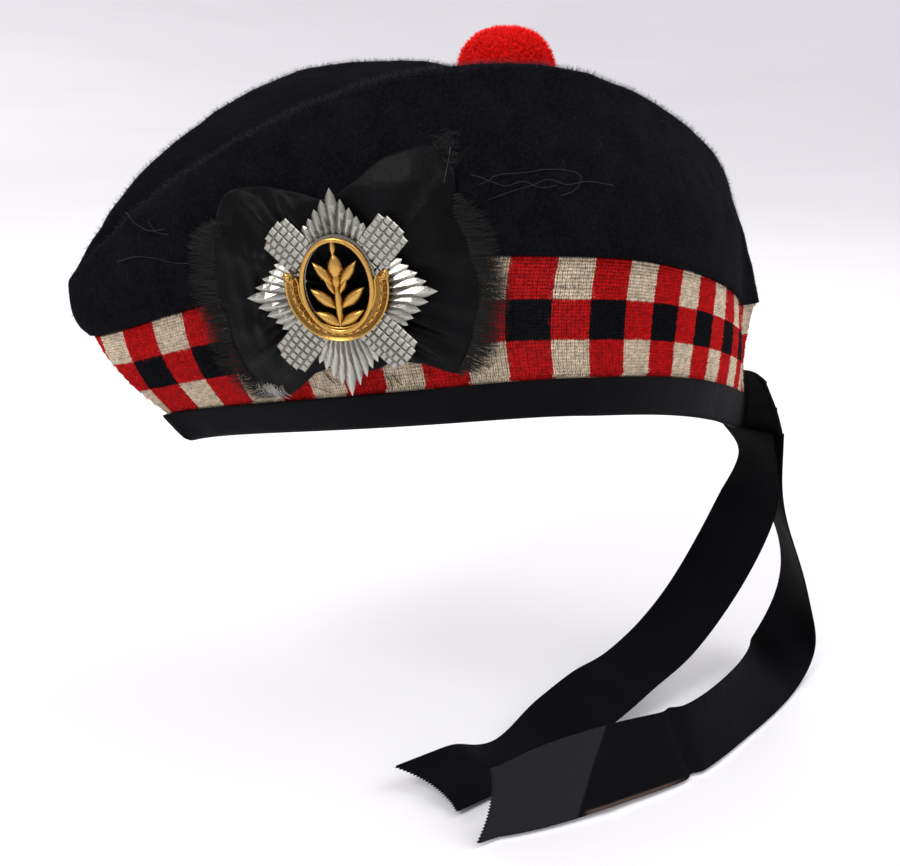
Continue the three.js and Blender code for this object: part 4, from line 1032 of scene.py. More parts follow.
class GLENGARRY_OT_band(bpy.types.Operator):
    """Knits the diced band, one stitch at a time over a plain backing"""
    bl_idname = "glengarry.band"
    bl_label = "Diced band"

    def execute(self, context):
        cloth = context.scene.glengarry_cloth
        wale = (cloth.red_square + cloth.white_square) / MM / (RED_WALES + WHITE_WALES)
        yarn = knitting_yarn()
        # Backing, in the squares' colours made darker: painted shade between the stitches
        t = spread(BAND_COLUMNS)
        rim, foot, head = (ring(half_outline(k, t)) for k in ("rim", "foot", "head"))
        loop, level = [], []
        low = rim + (foot - rim) * 0.15
        for v in [-0.2] + list(np.linspace(0, 1, COURSES + 1)):
            if v < 0:
                row, out = low, outward(low)
            else:
                row = foot + (head - foot) * v
                out = outward(row)
                row = drawn_in(row + out * belly_of(row, v), v)
            loop.append(row + out * (-0.5 if v > 0 else 0.0))
            level.append((row, out, v))
        for row, out, v in level[::-1]:
            loop.append(cornered(row - out * BAND_WALL))
        points = np.vstack(loop)
        backing = piece("band_backing", points, grid_faces(len(loop), len(rim), True, True), yarn)
        tint = backing.data.color_attributes.new("dye", "FLOAT_COLOR", "CORNER")
        places = {}
        rows_of = [0 if v < 0 else v for _, _, v in level] + [0 if v < 0 else v for _, _, v in level[::-1]]
        for r, v in enumerate(rows_of):
            arc = run_along(loop[r][:BAND_COLUMNS + 1])
            arc = np.concatenate([arc, arc[-2:0:-1]])
            for c in range(len(rim)):
                places[key_of(loop[r][c], 100)] = ((arc[c] - COLUMN_SLANT * v) / (1 + (STRETCH - 1) * v), v)
        colours = np.empty((len(backing.data.loops), 4), np.float32)
        marks = [places.get(key_of(np.array(p.co) / MM, 100), (0, 0)) for p in backing.data.vertices]
        for polygon in backing.data.polygons:
            w = sum(marks[k][0] for k in polygon.vertices) / len(polygon.vertices)
            v = sum(marks[k][1] for k in polygon.vertices) / len(polygon.vertices)
            dye = dye_of(int(math.floor((w - FIRST_COLUMN) / wale)), min(COURSES - 1, int(v * COURSES)),
                         cloth)
            for k in polygon.loop_indices:
                # Painted shade: the backing's colour is the stitch dye made darker
                colours[k] = tuple(BACKING_SHADE * e for e in dye) + (1,)
        tint.data.foreach_set("color", colours.ravel())
        wear(backing, "knitted_band", "diced_band")
        # Stitches: two leaning legs each
        points, faces = [], []
        for side in (-1, 1):
            a, b = np.array([side * 0.19, -0.98, -0.12]), np.array([side * 0.34, 0.98, -0.05])
            across = np.array([0.3, -0.04 * side, 0])
            mid = (a + b) / 2
            base = len(points)
            points += [a, b, mid - across, mid + across, mid + (0.0, 0.05, 0.5)]
            faces += [tuple(base + i for i in f) for f in (
                (0, 3, 4), (0, 4, 2), (1, 4, 3), (1, 2, 4), (0, 2, 3), (1, 3, 2))]
        stitch = piece("stitch", np.array(points) / MM, faces, merge=False)
        repeat = stitch_tree()
        rng = np.random.default_rng(5)
        for side, label in ((1, "left"), (-1, "right")):
            at, turns, grows, dyes = [], [], [], []
            for course in range(COURSES):
                v = (course + 0.5) / COURSES
                row, out = band_ring(v, proud=-STITCH_SINK)
                nearby, _ = band_ring(min(1, v + 0.02), proud=-STITCH_SINK)
                half = len(row) // 2 + 1
                row, out, nearby = row[:half], unit(out[:half]), nearby[:half]
                arc = run_along(row)
                per_wale = 1 + (STRETCH - 1) * v
                lean = COLUMN_SLANT * v
                lowest = (-lean / per_wale - FIRST_COLUMN) / wale
                highest = ((arc[-1] - lean) / per_wale - FIRST_COLUMN) / wale
                for k in range(math.ceil(lowest), math.floor(highest)):
                    s = ((k + 0.5) * wale + FIRST_COLUMN) * per_wale + lean
                    if not 0.3 < s < arc[-1] - 0.3:
                        continue
                    p = np.array([np.interp(s, arc, row[:, a]) for a in range(3)])
                    q = np.array([np.interp(s + 0.6, arc, row[:, a]) for a in range(3)])
                    o = unit(np.array([np.interp(s, arc, out[:, a]) for a in range(3)]))
                    along = unit(q - p)
                    o = unit(o - along * (o @ along) + (0, 0, -0.12))
                    up = np.cross(o, along)
                    if side < 0:
                        p, o, up, along = (e * (-1, 1, 1) for e in (p, o, up, along))
                        along = -along
                    turn = Matrix((along, up if up[2] > 0 else -up, o)).transposed()
                    if turn.determinant() < 0:
                        turn = Matrix((-along, up if up[2] > 0 else -up, o)).transposed()
                    height = np.linalg.norm(nearby[0] - row[0]) / 0.02 / COURSES
                    at.append(p + o * rng.normal(0, STITCH_UNEVEN) + along * rng.normal(0, STITCH_UNEVEN)
                              + up * rng.normal(0, STITCH_UNEVEN))
                    turns.append(turn.to_euler()[:])
                    grows.append((wale * per_wale * STITCH_WIDTH, max(0.8, height),
                                  1.0 + rng.normal(0, STITCH_UNEVEN)))
                    level = rng.uniform(0.82, 1.18)
                    dyes.append(tuple(level * e for e in dye_of(k, course, cloth)) + (1.0,))
            knit = piece("band_stitches_" + label, at, [], merge=False, closed=False)
            for name, kind, values in (("turn", "FLOAT_VECTOR", turns), ("grow", "FLOAT_VECTOR", grows),
                                       ("dye", "FLOAT_COLOR", dyes)):
                layer = knit.data.attributes.new(name, kind, "POINT")
                layer.data.foreach_set("color" if kind == "FLOAT_COLOR" else "vector",
                                       np.array(values, np.float32).ravel())
            use(knit, repeat, unit=stitch, size=MM, finish=yarn)
            settle(knit)
            knit.data.polygons.foreach_set("use_smooth", np.full(len(knit.data.polygons), True))
            wear(knit, "knitted_band")
            # Fluff that stands off each stitch in its own colour
            fluff = bpy.data.objects.new("band_fluff_" + label, knit.data.copy())
            context.scene.collection.objects.link(fluff)
            hair = bristle("fluff_fibre", 0.04)
            area = sum(f.area for f in fluff.data.polygons)
            use(fluff, pile_tree(), unit=hair, density=FLUFF_HAIRS / area, seed=9, shortest=0.5 * MM,
                longest=1.5 * MM, lean=1.0, finish=yarn)
            settle(fluff)
            discard(hair)
            wear(fluff, "knitted_band")
        discard(stitch)
        return {"FINISHED"}


class GLENGARRY_OT_binding(bpy.types.Operator):
    """Folds the ribbon binding over the lower edge"""
    bl_idname = "glengarry.binding"
    bl_label = "Binding"

    def execute(self, context):
        trim = context.scene.glengarry_trim
        t = spread(BAND_COLUMNS)
        rim, foot = ring(half_outline("rim", t)), ring(half_outline("foot", t))
        rim_out, foot_out = outward(rim), outward(foot)
        back = -(BAND_WALL + GAP)
        # Section: distance out of the band in millimetres, share of the way from rim to foot
        section = [(0.35, 1.0), (0.75, 1.01), (1.15, 0.985), (1.32, 0.9), (1.38, 0.7), (1.34, 0.45),
                   (1.28, 0.25), (1.1, 0.1), (0.55, 0.015), (-0.6, -0.02), (-1.9, -0.01), (-3.1, 0.04),
                   (-3.75, 0.14), (-3.9, 0.4), (-3.9, 0.98), (back - 0.1, 1.0), (back - 0.1, 0.3),
                   (back + 0.05, 0.13), (-1.2, 0.1), (0.35, 0.14)]
        arc = run_along(rim)
        loop, uv, run = [], [], 0.0
        for k, (out_mm, h) in enumerate(section):
            base = rim + (foot - rim) * h
            way = rim_out + (foot_out - rim_out) * min(1, max(0, h))
            wobble = np.array([0.22 * lumps(p, 14.0, 5.0) + 0.1 * lumps(p, 4.0, 1.0) for p in base])
            if out_mm < 0:
                row = cornered(base + way * out_mm)
            else:
                row = base + way * (out_mm + (wobble if out_mm > 0.7 else 0 * wobble))[:, None]
            if k:
                a, b = section[k - 1], section[k]
                run += math.hypot(a[0] - b[0], (a[1] - b[1]) * 11)
            loop.append(row)
            uv.append(np.stack([arc, np.full(len(arc), run)], -1))
        binding = piece("binding_ribbon", np.vstack(loop), grid_faces(len(loop), len(rim), True, True),
                        petersham("binding_petersham", trim, 0.6), np.vstack(uv))
        wear(binding, "binding_ribbon", "binding")
        return {"FINISHED"}


class GLENGARRY_OT_rosette(bpy.types.Operator):
    """Gathers the black ribbon rosette behind the badge, with its frayed ends"""
    bl_idname = "glengarry.rosette"
    bl_label = "Rosette"

    def execute(self, context):
        trim = context.scene.glengarry_trim
        wall = wall_heights()
        reach = [column(ROSETTE, "reach", c / SPOKES) for c in range(SPOKES)]
        fold = [column(ROSETTE, "fold", c / SPOKES) for c in range(SPOKES)]

        def fringe(c):
            """Share of full length that the frayed edge has at this spoke."""
            at = (c * 360 / SPOKES + 180) % 360 - 180
            return max(1 / (1 + math.exp((abs(at - middle) - half) / 2.0)) for middle, half in CUT_ENDS)

        def top_at(c, r):
            """Place of the silk's top at this spoke and share of its reach, in the badge's frame."""
            turn = 2 * math.pi * c / SPOKES
            edge = 1 + 0.012 * math.sin(5 * turn) + 0.006 * math.sin(14 * turn + 1)
            d = r * (ROSETTE_REACH * reach[c % SPOKES] * edge - FRINGE_BARE * fringe(c))
            s, h = d * math.cos(turn), d * math.sin(turn)
            seat = wall(s, h)
            drift = 3.0 * lumps((s, h, 0), 20.0, 2.0)
            pleat = 0.0
            for at, wide, deep in GATHERS:
                off = (c * 360 / SPOKES + drift - at + 180) % 360 - 180
                pleat += deep * math.exp(-(off / wide) ** 2)
            pleat *= 1.5 * math.sin(math.pi * min(1.0, 0.12 + 0.86 * r)) ** 0.7
            hang = 0.0
            if s < 0:
                hang = 0.55 * math.sin((s + 0.12 * h) * 1.15) * math.exp(-((s + 25) / 7) ** 2 - (h / 16) ** 2)
            broad = lumps((s, h, 5), 17.0, 6.0)
            full = fold[c % SPOKES]
            puff = full * (1.9 * math.sin(math.pi * min(1, r ** 1.1)) + 1.2 * broad * r) + pleat + hang
            lift = max(0.0, lumps((s, h, 9), 14.0, 8.0)) * 2.0 * full * max(0, r - 0.75) / 0.25
            w = seat + 1.2 + max(0.0, puff) + lift
            if d < BADGE_CLEAR:
                limit = BADGE_SEAT - GAP
                w = min(w, limit) if d < BADGE_COVER else min(w, limit + (d - BADGE_COVER) * 0.8)
            return s, h, max(w, seat + 0.9)

        top, under, uv = [], [], []
        for k in range(RINGS + 1):
            r = k / RINGS
            ring_points = [top_at(c, r) for c in range(SPOKES)]
            top.append([face(*p) for p in ring_points])
            under.append([face(p[0], p[1], p[2] - SILK_THICK) for p in ring_points])
            uv.append([(p[0] * 0.94 + p[1] * 0.34, p[1]) for p in ring_points])
        loop = top + under[::-1]
        maps = uv + uv[::-1]
        rosette = piece("rosette_silk", np.vstack(loop), grid_faces(len(loop), SPOKES, False, True),
                        plain_silk(trim), np.vstack(maps))
        wear(rosette, "rosette_silk", "rosette")
        # Frayed threads
        rng = random.Random(7)
        points, faces = [], []

        def top_lift(s, h):
            """Height just above the silk at this place, or above the hat where there is no silk."""
            c = int(round(math.degrees(math.atan2(h, s)) % 360 / 360 * SPOKES)) % SPOKES
            edge_s, edge_h, _ = top_at(c, 1.0)
            r = min(1.0, math.hypot(s, h) / math.hypot(edge_s, edge_h))
            return top_at(c, r)[2] + 0.5

        def thread(path, radius):
            """Adds one tapered thread along a path."""
            base = len(points)
            for i, p in enumerate(path):
                r = radius * (1 - 0.7 * i / (len(path) - 1))
                for a in (0, 2 * math.pi / 3, 4 * math.pi / 3):
                    points.append(p + FACE_UP * r * math.cos(a) + FACE_OUT * r * math.sin(a)
                                  + FACE_BACK * r * 0.3 * math.cos(a + 1))
            faces.extend(sleeve(base, len(path), 3))
            faces.append((base + 2, base + 1, base))
            e = base + 3 * (len(path) - 1)
            faces.append((e, e + 1, e + 2))

        for _ in range(FRINGE_TRIES):
            c = rng.random() * SPOKES
            i = int(c) % SPOKES
            if fringe(i) < 0.2:
                continue
            s, h, w = top_at(i, 1.0)
            turn = 2 * math.pi * c / SPOKES
            away = np.array([math.cos(turn), math.sin(turn)])
            away = unit(away + 1.1 * np.array([math.copysign(1, away[0]), 0]))
            side = np.array([-away[1], away[0]])
            length = trim.fray / MM * fringe(i) * rng.uniform(0.7, 1.35)
            lean, curl = rng.gauss(-0.08, 0.16), rng.gauss(0, 0.25)
            rise = rng.uniform(-0.2, 1.0)
            path = []
            for k in range(6):
                u = k / 5
                bend = lean * u + curl * u * u * 0.4
                q = np.array([s, h]) + away * (length * u - 1.2) + side * length * bend
                level = max(w - 0.2 + rise * math.sin(math.pi * u), wall(*q) + 0.5 + 0.6 * rng.random())
                path.append(face(q[0], q[1], level))
            thread(path, rng.uniform(0.08, 0.13))
        for s0, h0, spread_mm, count in KNOTS:
            for _ in range(count):
                a, size = rng.uniform(0, 2 * math.pi), rng.uniform(0.4, 1.5)
                cs, ch = s0 + rng.gauss(0, spread_mm / 2), h0 + rng.gauss(0, spread_mm / 3)
                path = []
                for k in range(7):
                    b = a + k * 0.75
                    q = (cs + size * math.cos(b) * (1 + 0.1 * k), ch + size * math.sin(b))
                    path.append(face(q[0], q[1], wall(*q) + 2.2 + 1.6 * rng.random()))
                thread(path, 0.07)
        frayed = piece("rosette_fray", points, faces, loose_thread("frayed_silk_thread", linear("#181817")),
                       merge=False)
        wear(frayed, "rosette_silk")
        # Pale tuft at the lower left tip
        points, faces = [], []
        for _ in range(TUFT_HAIRS):
            s0, h0 = -25.0 + rng.gauss(0, 2.2), -31.0 + rng.gauss(0, 0.5) + 0.1 * rng.random()
            turn, size = rng.gauss(-1.9, 0.35), rng.uniform(2.6, 5.4)
            path = []
            for k in range(5):
                way, far = turn + 0.2 * k, size * k / 4
                q = (s0 + far * math.cos(way), h0 + far * math.sin(way))
                path.append(face(q[0], q[1], wall(*q) + 2.6 + 0.8 * rng.random()))
            thread(path, 0.075)
        # One pale thread that hangs from the upper knot
        hang = [(28.0 - 0.12 * k, 38.5 - 1.1 * k) for k in range(9)]
        thread([face(q[0], q[1], top_lift(*q)) for q in hang], 0.06)
        tuft = piece("pale_tuft", points, faces, loose_thread("bleached_silk_thread", linear("#bdbab2")),
                     merge=False)
        wear(tuft, "rosette_silk")
        return {"FINISHED"}


def hollow_and_shade_layer(obj, values):
    """Stores how dark each point of the metal is painted: how deep it lies, with painted shade and painted
    reflection.
    """
    layer = obj.data.attributes.new("hollow", "FLOAT", "POINT")
    layer.data.foreach_set("value", np.array(values, np.float32))


class GLENGARRY_OT_badge(bpy.types.Operator):
    """Strikes the silver star and the openwork gilt centre"""
    bl_idname = "glengarry.badge"
    bl_label = "Badge"

    def execute(self, context):
        trim = context.scene.glengarry_trim
        points, faces, deep = [], [], []

        def place(turn, r, side, w):
            """A point out along a ray of the star, in millimetres."""
            aspect = STAR_HALF_WIDTH / STAR_HALF_HEIGHT
            s = (r * math.cos(turn) - side * math.sin(turn)) * aspect
            h = r * math.sin(turn) + side * math.cos(turn)
            return leaning(s, h, BADGE_SEAT + w)

        def blade(turn, inner, outer, wide, high, low):
            """One ridged ray of the star, pointed at its end."""
            base = len(points)
            mid = inner + (outer - inner) * 0.66
            rows = [(inner, wide * 0.55, high * 0.9), ((inner + mid) / 2, wide * 0.85, high),
                    (mid, wide, high * 0.85), ((mid + outer) / 2, wide * 0.72, high * 0.6)]
            for r, half, top in rows:
                points.extend([place(turn, r, -half, low), place(turn, r, -half, low + 0.25),
                               place(turn, r, 0, top), place(turn, r, half, low + 0.25),
                               place(turn, r, half, low)])
                # Painted reflection and shade: each blade light along its ridge and darker down its sides
                deep.extend([1, 0.75, 0, 0.75, 1])
            points.append(place(turn, outer, 0, low + 0.3))
            deep.append(0)
            faces.extend(sleeve(base, 4, 5))
            q = base + 15
            for k in range(5):
                faces.append((q + k, q + (k + 1) % 5, base + 20))
            faces.append((base + 4, base + 3, base + 2, base + 1, base))

        def bead(turn, r, side, long, wide, high, low):
            """One small raised block of an arm."""
            base = len(points)
            for grow, top in ((1.0, low), (0.94, low + 0.6 * high), (0.7, low + high)):
                for a, b in ((-1, -1), (1, -1), (1, 1), (-1, 1)):
                    points.append(place(turn, r + a * long / 2 * grow, side + b * wide / 2 * grow, top))
                # Painted light and shade: the beads' edges lighter than their tops, a painted highlight, and
                # their feet dark
                deep.extend([1.0 if top == low else (0.12 if grow > 0.9 else 0.34)] * 4)
            faces.extend(sleeve(base, 3, 4))
            faces.append((base + 8, base + 9, base + 10, base + 11))
            faces.append((base + 3, base + 2, base + 1, base))

        full = STAR_HALF_HEIGHT
        lengths = [1.0, 0.9, 0.83, 0.77, 0.735]
        for group in range(4):
            centre = group * math.pi / 2
            for k in range(-4, 5):
                turn = centre + BLADE_PITCH * k
                inner = (11.2, OVAL_UP + OVAL_HALF_HEIGHT - 0.25 * abs(k), 11.2, 9.5)[group]
                blade(turn, inner, full * lengths[abs(k)], 1.72 if k else 1.85, 2.3 - 0.12 * abs(k), 0.35)
        rows = [0.915, 0.91, 0.87]
        for group in range(4):
            turn = math.pi / 4 + group * math.pi / 2
            for k in range(-2, 3):
                last = full * rows[abs(k)]
                side = k * BEAD_PITCH
                long = (last - BEAD_START) / BEADS
                for i in range(BEADS):
                    r = BEAD_START + (last - BEAD_START) * (i + 0.5) / BEADS
                    s = r * math.cos(turn) - side * math.sin(turn)
                    h = r * math.sin(turn) + side * math.cos(turn)
                    if (s / OVAL_HALF_WIDTH) ** 2 + ((h - OVAL_UP) / OVAL_HALF_HEIGHT) ** 2 < 1.2:
                        continue
                    high = 1.9 - 0.9 * i / BEADS
                    bead(turn, r, side, long * 0.97, 2.1, 0.75, high - 0.35 - 0.12 * abs(k))
            # Plate that carries the beads
            base = len(points)
            start = 14.3 if group < 2 else 9.4
            for low in (0.3, 1.0):
                for r, side in ((start, -4.9), (full * 0.86, -5.5), (full * 0.91, 0), (full * 0.86, 5.5),
                                (start, 4.9)):
                    step = 0.6 if low == 1.0 and r <= start else 0
                    points.append(place(turn, r, side, low + step))
                    # Painted shade: the plate between the beads is darker
                    deep.append(0.7)
            faces.extend(sleeve(base, 2, 5))
            faces.append(tuple(base + 5 + k for k in range(5)))
            faces.append(tuple(base + k for k in range(5))[::-1])
        # Ring of metal round the opening
        rims = [(0.94, 0.3), (0.94, 2.2), (1.0, 2.35), (1.1, 2.1), (1.1, 0.3)]
        base = len(points)
        around = 96
        for grow, w in rims:
            for j in range(around):
                a = 2 * math.pi * j / around
                points.append(leaning(OVAL_HALF_WIDTH * grow * math.cos(a),
                                      OVAL_UP + OVAL_HALF_HEIGHT * grow * math.sin(a), BADGE_SEAT + w))
                # Painted shade: the ring round the opening, under the gilt oval, is darker
                deep.append(0.6)
        faces += sleeve(base, len(rims), around, True)
        star = piece("star_white_metal", points, faces,
                     struck_metal("struck_white_metal", trim.silver, linear("#4a4841"), 0.22),
                     merge=False, smooth=False)
        hollow_and_shade_layer(star, deep)
        wear(star, "badge_white_metal", "badge_star")

        points, faces, deep = [], [], []
        w0 = BADGE_SEAT + STAR_THICK + GAP + GILT_RISE

        def on_face(s, h, w):
            """A place measured from the middle of the oval."""
            return leaning(s, h + OVAL_UP, w)

        def ring_of(grow_x, grow_h, wire, lift):
            """An oval of round wire."""
            base = len(points)
            n, sides = 144, 8
            for k in range(sides):
                a = 2 * math.pi * k / sides
                for j in range(n):
                    t = 2 * math.pi * j / n
                    points.append(on_face((grow_x + wire * math.cos(a)) * math.cos(t),
                                          (grow_h + wire * math.cos(a)) * math.sin(t),
                                          lift + wire * 0.9 * math.sin(a)))
                    # Painted shade: the wire is darker underneath
                    deep.append(0.5 if math.sin(a) < -0.5 else 0.0)
            faces.extend(sleeve(base, sides, n, True))

        ring_of(OVAL_HALF_WIDTH, OVAL_HALF_HEIGHT, 0.72, w0)

        def crescent(start, end, n=72):
            """A plain gilt band below the ring, tapered at both ends, that carries the small leaves."""
            base = len(points)
            for i in range(n + 1):
                u = i / n
                a = math.radians(start + (end - start) * u)
                half = 1.95 * min(1.0, 0.6 + 14 * min(u, 1 - u))
                # Painted shade: the crescent darker in its groove and along its lower edges
                for out, up, hollow in ((-half, -0.5, 0.5), (-half, 0.5, 0.0), (-half + 0.35, 0.5, 0.0),
                                        (-half + 0.5, 0.12, 0.7), (half - 0.5, 0.12, 0.7),
                                        (half - 0.35, 0.5, 0.0), (half, 0.5, 0.0), (half, -0.5, 0.5)):
                    r_s, r_h = OVAL_HALF_WIDTH + CRESCENT_OUT + out, OVAL_HALF_HEIGHT + CRESCENT_DOWN + out
                    points.append(on_face(r_s * math.cos(a), r_h * math.sin(a), w0 - 0.2 + up))
                    deep.append(hollow)
            faces.extend(sleeve(base, n + 1, 8))
            faces.append(tuple(base + k for k in range(8))[::-1])
            faces.append(tuple(base + 8 * n + k for k in range(8)))

        crescent(168, 372)

        def leaf(s, h, lift, turn, long, wide, high):
            """A pointed leaf with a raised rib, closed underneath."""
            base = len(points)
            c, k = math.cos(turn), math.sin(turn)
            n = 9
            for layer in (1, 0):
                for i in range(n):
                    u = -1 + 2 * i / (n - 1)
                    half = wide * (1 - abs(u) ** 1.7) * (1.0 if u < 0 else 0.9) + 0.04
                    for b in (-1, -0.5, 0, 0.5, 1):
                        x, y = u * long, b * half
                        vein = 0.18 if abs(b) < 0.3 else 0
                        rib = high * ((1 - abs(b)) ** 0.6 * (1 - u * u) ** 0.5 + vein)
                        notch = 0.1 * math.sin(12 * u) * abs(b)
                        points.append(on_face(s + x * c - y * k, h + x * k + y * c,
                                              lift + (rib + notch if layer else -0.35)))
                        # Painted shade: the leaf darker at its edges and underneath
                        deep.append(0.0 if abs(b) < 0.8 and layer else 0.5)
            cols = 5
            for i in range(n - 1):
                for b in range(cols - 1):
                    q = base + i * cols + b
                    faces.append((q, q + cols, q + cols + 1, q + 1))
                    q += n * cols
                    faces.append((q, q + 1, q + cols + 1, q + cols))
            rim = ([base + b for b in range(cols)] + [base + i * cols + cols - 1 for i in range(1, n)]
                   + [base + (n - 1) * cols + b for b in range(cols - 2, -1, -1)]
                   + [base + i * cols for i in range(n - 2, 0, -1)])
            for a, b in zip(rim, rim[1:] + rim[:1]):
                faces.append((a, b, b + n * cols, a + n * cols))

        H, W = OVAL_HALF_HEIGHT, OVAL_HALF_WIDTH
        # Leaves of the sprig: across, up, angle in degrees, half length and half width
        ornament = [
            (0, -0.35, 90, 0.62, 0.10), (0, 0.42, 90, 0.30, 0.19), (0, 0.84, 90, 0.22, 0.08),
            (-0.36, 0.28, 128, 0.34, 0.13), (0.36, 0.28, 52, 0.34, 0.13), (-0.42, -0.26, 140, 0.36, 0.15),
            (0.42, -0.26, 40, 0.36, 0.15), (-0.34, -0.70, 150, 0.34, 0.14), (0.34, -0.70, 30, 0.34, 0.14),
            (-0.2, 0.02, 118, 0.24, 0.08), (0.2, 0.02, 62, 0.24, 0.08), (0, 0.12, 90, 0.2, 0.13)]
        for across, up, turn, long, wide in ornament:
            leaf(W * across, H * up, w0 - 0.1, math.radians(turn), H * long, H * wide, 0.9)
        for k in range(19):
            a = math.radians(174 + (366 - 174) * k / 18)
            s, h = (W + CRESCENT_OUT) * math.cos(a), (H + CRESCENT_DOWN) * math.sin(a)
            along = math.atan2((H + CRESCENT_DOWN) * math.cos(a), -(W + CRESCENT_OUT) * math.sin(a))
            for flip in (-24, 24):
                leaf(s, h, w0 - 0.15, along + math.radians(flip + (180 if k > 9 else 0)), 1.25, 0.42, 0.5)
        # Rolled ends of the band
        for end in (-1, 1):
            for grow, lift in ((1.9, 0.0), (1.1, 0.5)):
                leaf(end * (W + 3.6), 2.6, w0 + lift, math.radians(60 * end), grow, grow * 0.85, 0.7)
        gilt = piece("centre_gilt", points, faces,
                     struck_metal("gilt_brass_relief", trim.gilt, linear("#6e4a20"), 0.26), merge=False)
        hollow_and_shade_layer(gilt, deep)
        wear(gilt, "badge_gilt", "badge_centre")
        return {"FINISHED"}


class GLENGARRY_OT_toorie(bpy.types.Operator):
    """Clips the scarlet wool ball that sits in the crease"""
    bl_idname = "glengarry.toorie"
    bl_label = "Toorie"

    def execute(self, context):
        trim = context.scene.glengarry_trim
        low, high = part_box("toorie")
        centre = np.array((low + high) / 2) / MM
        reach = np.array((high - low) / 2) / MM - 1.0
        bm = bmesh.new()
        bmesh.ops.create_icosphere(bm, subdivisions=5, radius=1.0)
        points = []
        for v in bm.verts:
            d = np.array(v.co)
            flat = (np.abs(d) ** 2.25).sum() ** (-1 / 2.25)
            p = d * flat
            bump = 1 + 0.03 * lumps(d * 10, 4.0, 2.0) + 0.02 * lumps(d * 10, 1.6, 4.0)
            points.append(centre + p * reach * 0.93 * bump)
        faces = [tuple(v.index for v in f.verts) for f in bm.faces]
        bm.free()
        ball = piece("toorie_ball", points, faces, clipped_wool(trim), merge=False)
        wear(ball, "toorie_wool", "toorie")
        pile = piece("toorie_pile", points, faces, merge=False)
        yarn = fibre("yarn_end", 0.085, 0.12)
        use(pile, pile_tree(), unit=yarn, density=trim.pile_count * 1e4, seed=3, shortest=1.3 * MM,
            longest=2.3 * MM, lean=0.55, finish=yarn_tips(trim))
        settle(pile)
        discard(yarn)
        wear(pile, "toorie_wool")
        return {"FINISHED"}


def ribbon_path(table, steps):
    """Middle of the ribbon and its sideways direction, step by step along its table."""
    base = np.array([0, BACK_END, 0])
    points = [np.array([r["x"], r["y"], r["z"]]) * TAIL_DROP + base for r in table]
    out = []
    for i in range(steps + 1):
        s = i / steps
        k = 0
        while k < len(table) - 2 and table[k + 1]["along"] <= s:
            k += 1
        local = (s - table[k]["along"]) / (table[k + 1]["along"] - table[k]["along"])
        turn, lift = math.radians(column(table, "turn", s)), math.radians(column(table, "lift", s))
        half = np.array([math.cos(lift) * math.cos(turn), math.cos(lift) * math.sin(turn), math.sin(lift)])
        out.append((smooth_path(points, (k + local) / (len(table) - 1)), half))
    return out


def ribbon_piece(name, table, steps, width, thick, end, material, crease=None, cup=0.5, even_out=10,
                 lap=0.0, rounded=0.0):
    """A strip of ribbon along its table, cupped across, and the length of its middle.

    A strip with an end is pinked there and its run is evened out. The others may lap over what
    follows them, and have the corners of their start rounded.
    """
    path = ribbon_path(table, steps)
    middle = np.array([p for p, _ in path])
    way = unit(np.gradient(middle, axis=0))
    shares = np.array([-1, -0.985, -0.93, -0.86, -0.6, -0.3, 0, 0.3, 0.6, 0.86, 0.93, 0.985, 1.0])
    run = run_along(middle)
    if end:
        shares = np.linspace(-1, 1, 2 * round(width) + 1)
    rows, uv, normals = [], [], []
    for i, (p, half) in enumerate(path):
        n = unit(np.cross(way[i], half))
        line = []
        for u in shares:
            lift = cup * (u * u - 0.4) + 0.18 * lumps(p + half * u * 12, 9.0, 2.0)
            if crease and not end:
                for at, depth, wide, skew in crease:
                    d = (run[i] / run[-1] - at + skew * u) / wide
                    lift += depth * math.exp(-d * d)
            corner = rounded * max(0.0, (abs(u) - 0.3) / 0.7) ** 2.2 * max(0.0, 1 - run[i] / 11) ** 1.5
            line.append(p + half * u * width / 2 + n * lift * min(1, i / 4) + way[i] * corner)
        rows.append(line)
        uv.append([(run[i], u * width / 2) for u in shares])
        normals.append(n)
    if end:
        even = np.array(rows)
        for _ in range(even_out):
            even[1:-1] = (even[:-2] + 2 * even[1:-1] + even[2:]) / 4
        for i in range(len(rows)):
            push_out = [0.0] * len(shares)
            for at, depth, wide, skew in crease or ():
                push_out = [v + depth * math.exp(-((run[i] / run[-1] - at + skew * u) / wide) ** 2)
                            for v, u in zip(push_out, shares)]
            rows[i] = list(even[i] + normals[i] * np.array(push_out)[:, None])
    if end:
        for part in (0.5, 1.0):
            line, marks = [], []
            for j, u in enumerate(shares):
                reach = end["start"] + end["hollow"] * u * u + end["slant"] * u + (j % 2) * 1.1
                q = rows[steps][j] + way[-1] * reach * part
                line.append(q)
                marks.append((run[-1] + reach * part, u * width / 2))
            rows.append(line)
            uv.append(marks)
            normals.append(normals[-1])
    if lap:
        rows.append([q + way[-1] * lap + normals[-1] * 0.3 for q in rows[-1]])
        uv.append([(run[-1] + lap, u * width / 2) for u in shares])
        normals.append(normals[-1])
    top = [np.array(r) + n * thick / 2 for r, n in zip(rows, normals)]
    low = [np.array(r) - n * thick / 2 for r, n in zip(rows, normals)]
    cols = len(shares)
    loop = [np.vstack([t, l[::-1]]) for t, l in zip(top, low)]
    maps = [np.vstack([m, m[::-1]]) for m in uv]
    faces = grid_faces(len(loop), 2 * cols, False, True)
    base = (len(loop) - 1) * 2 * cols
    for j in range(cols - 1):
        faces.append((j, j + 1, 2 * cols - 2 - j, 2 * cols - 1 - j))
        faces.append((base + j + 1, base + j, base + 2 * cols - 1 - j, base + 2 * cols - 2 - j))
    return piece(name, np.vstack(loop), faces, material, np.vstack(maps), merge=False), run[-1]


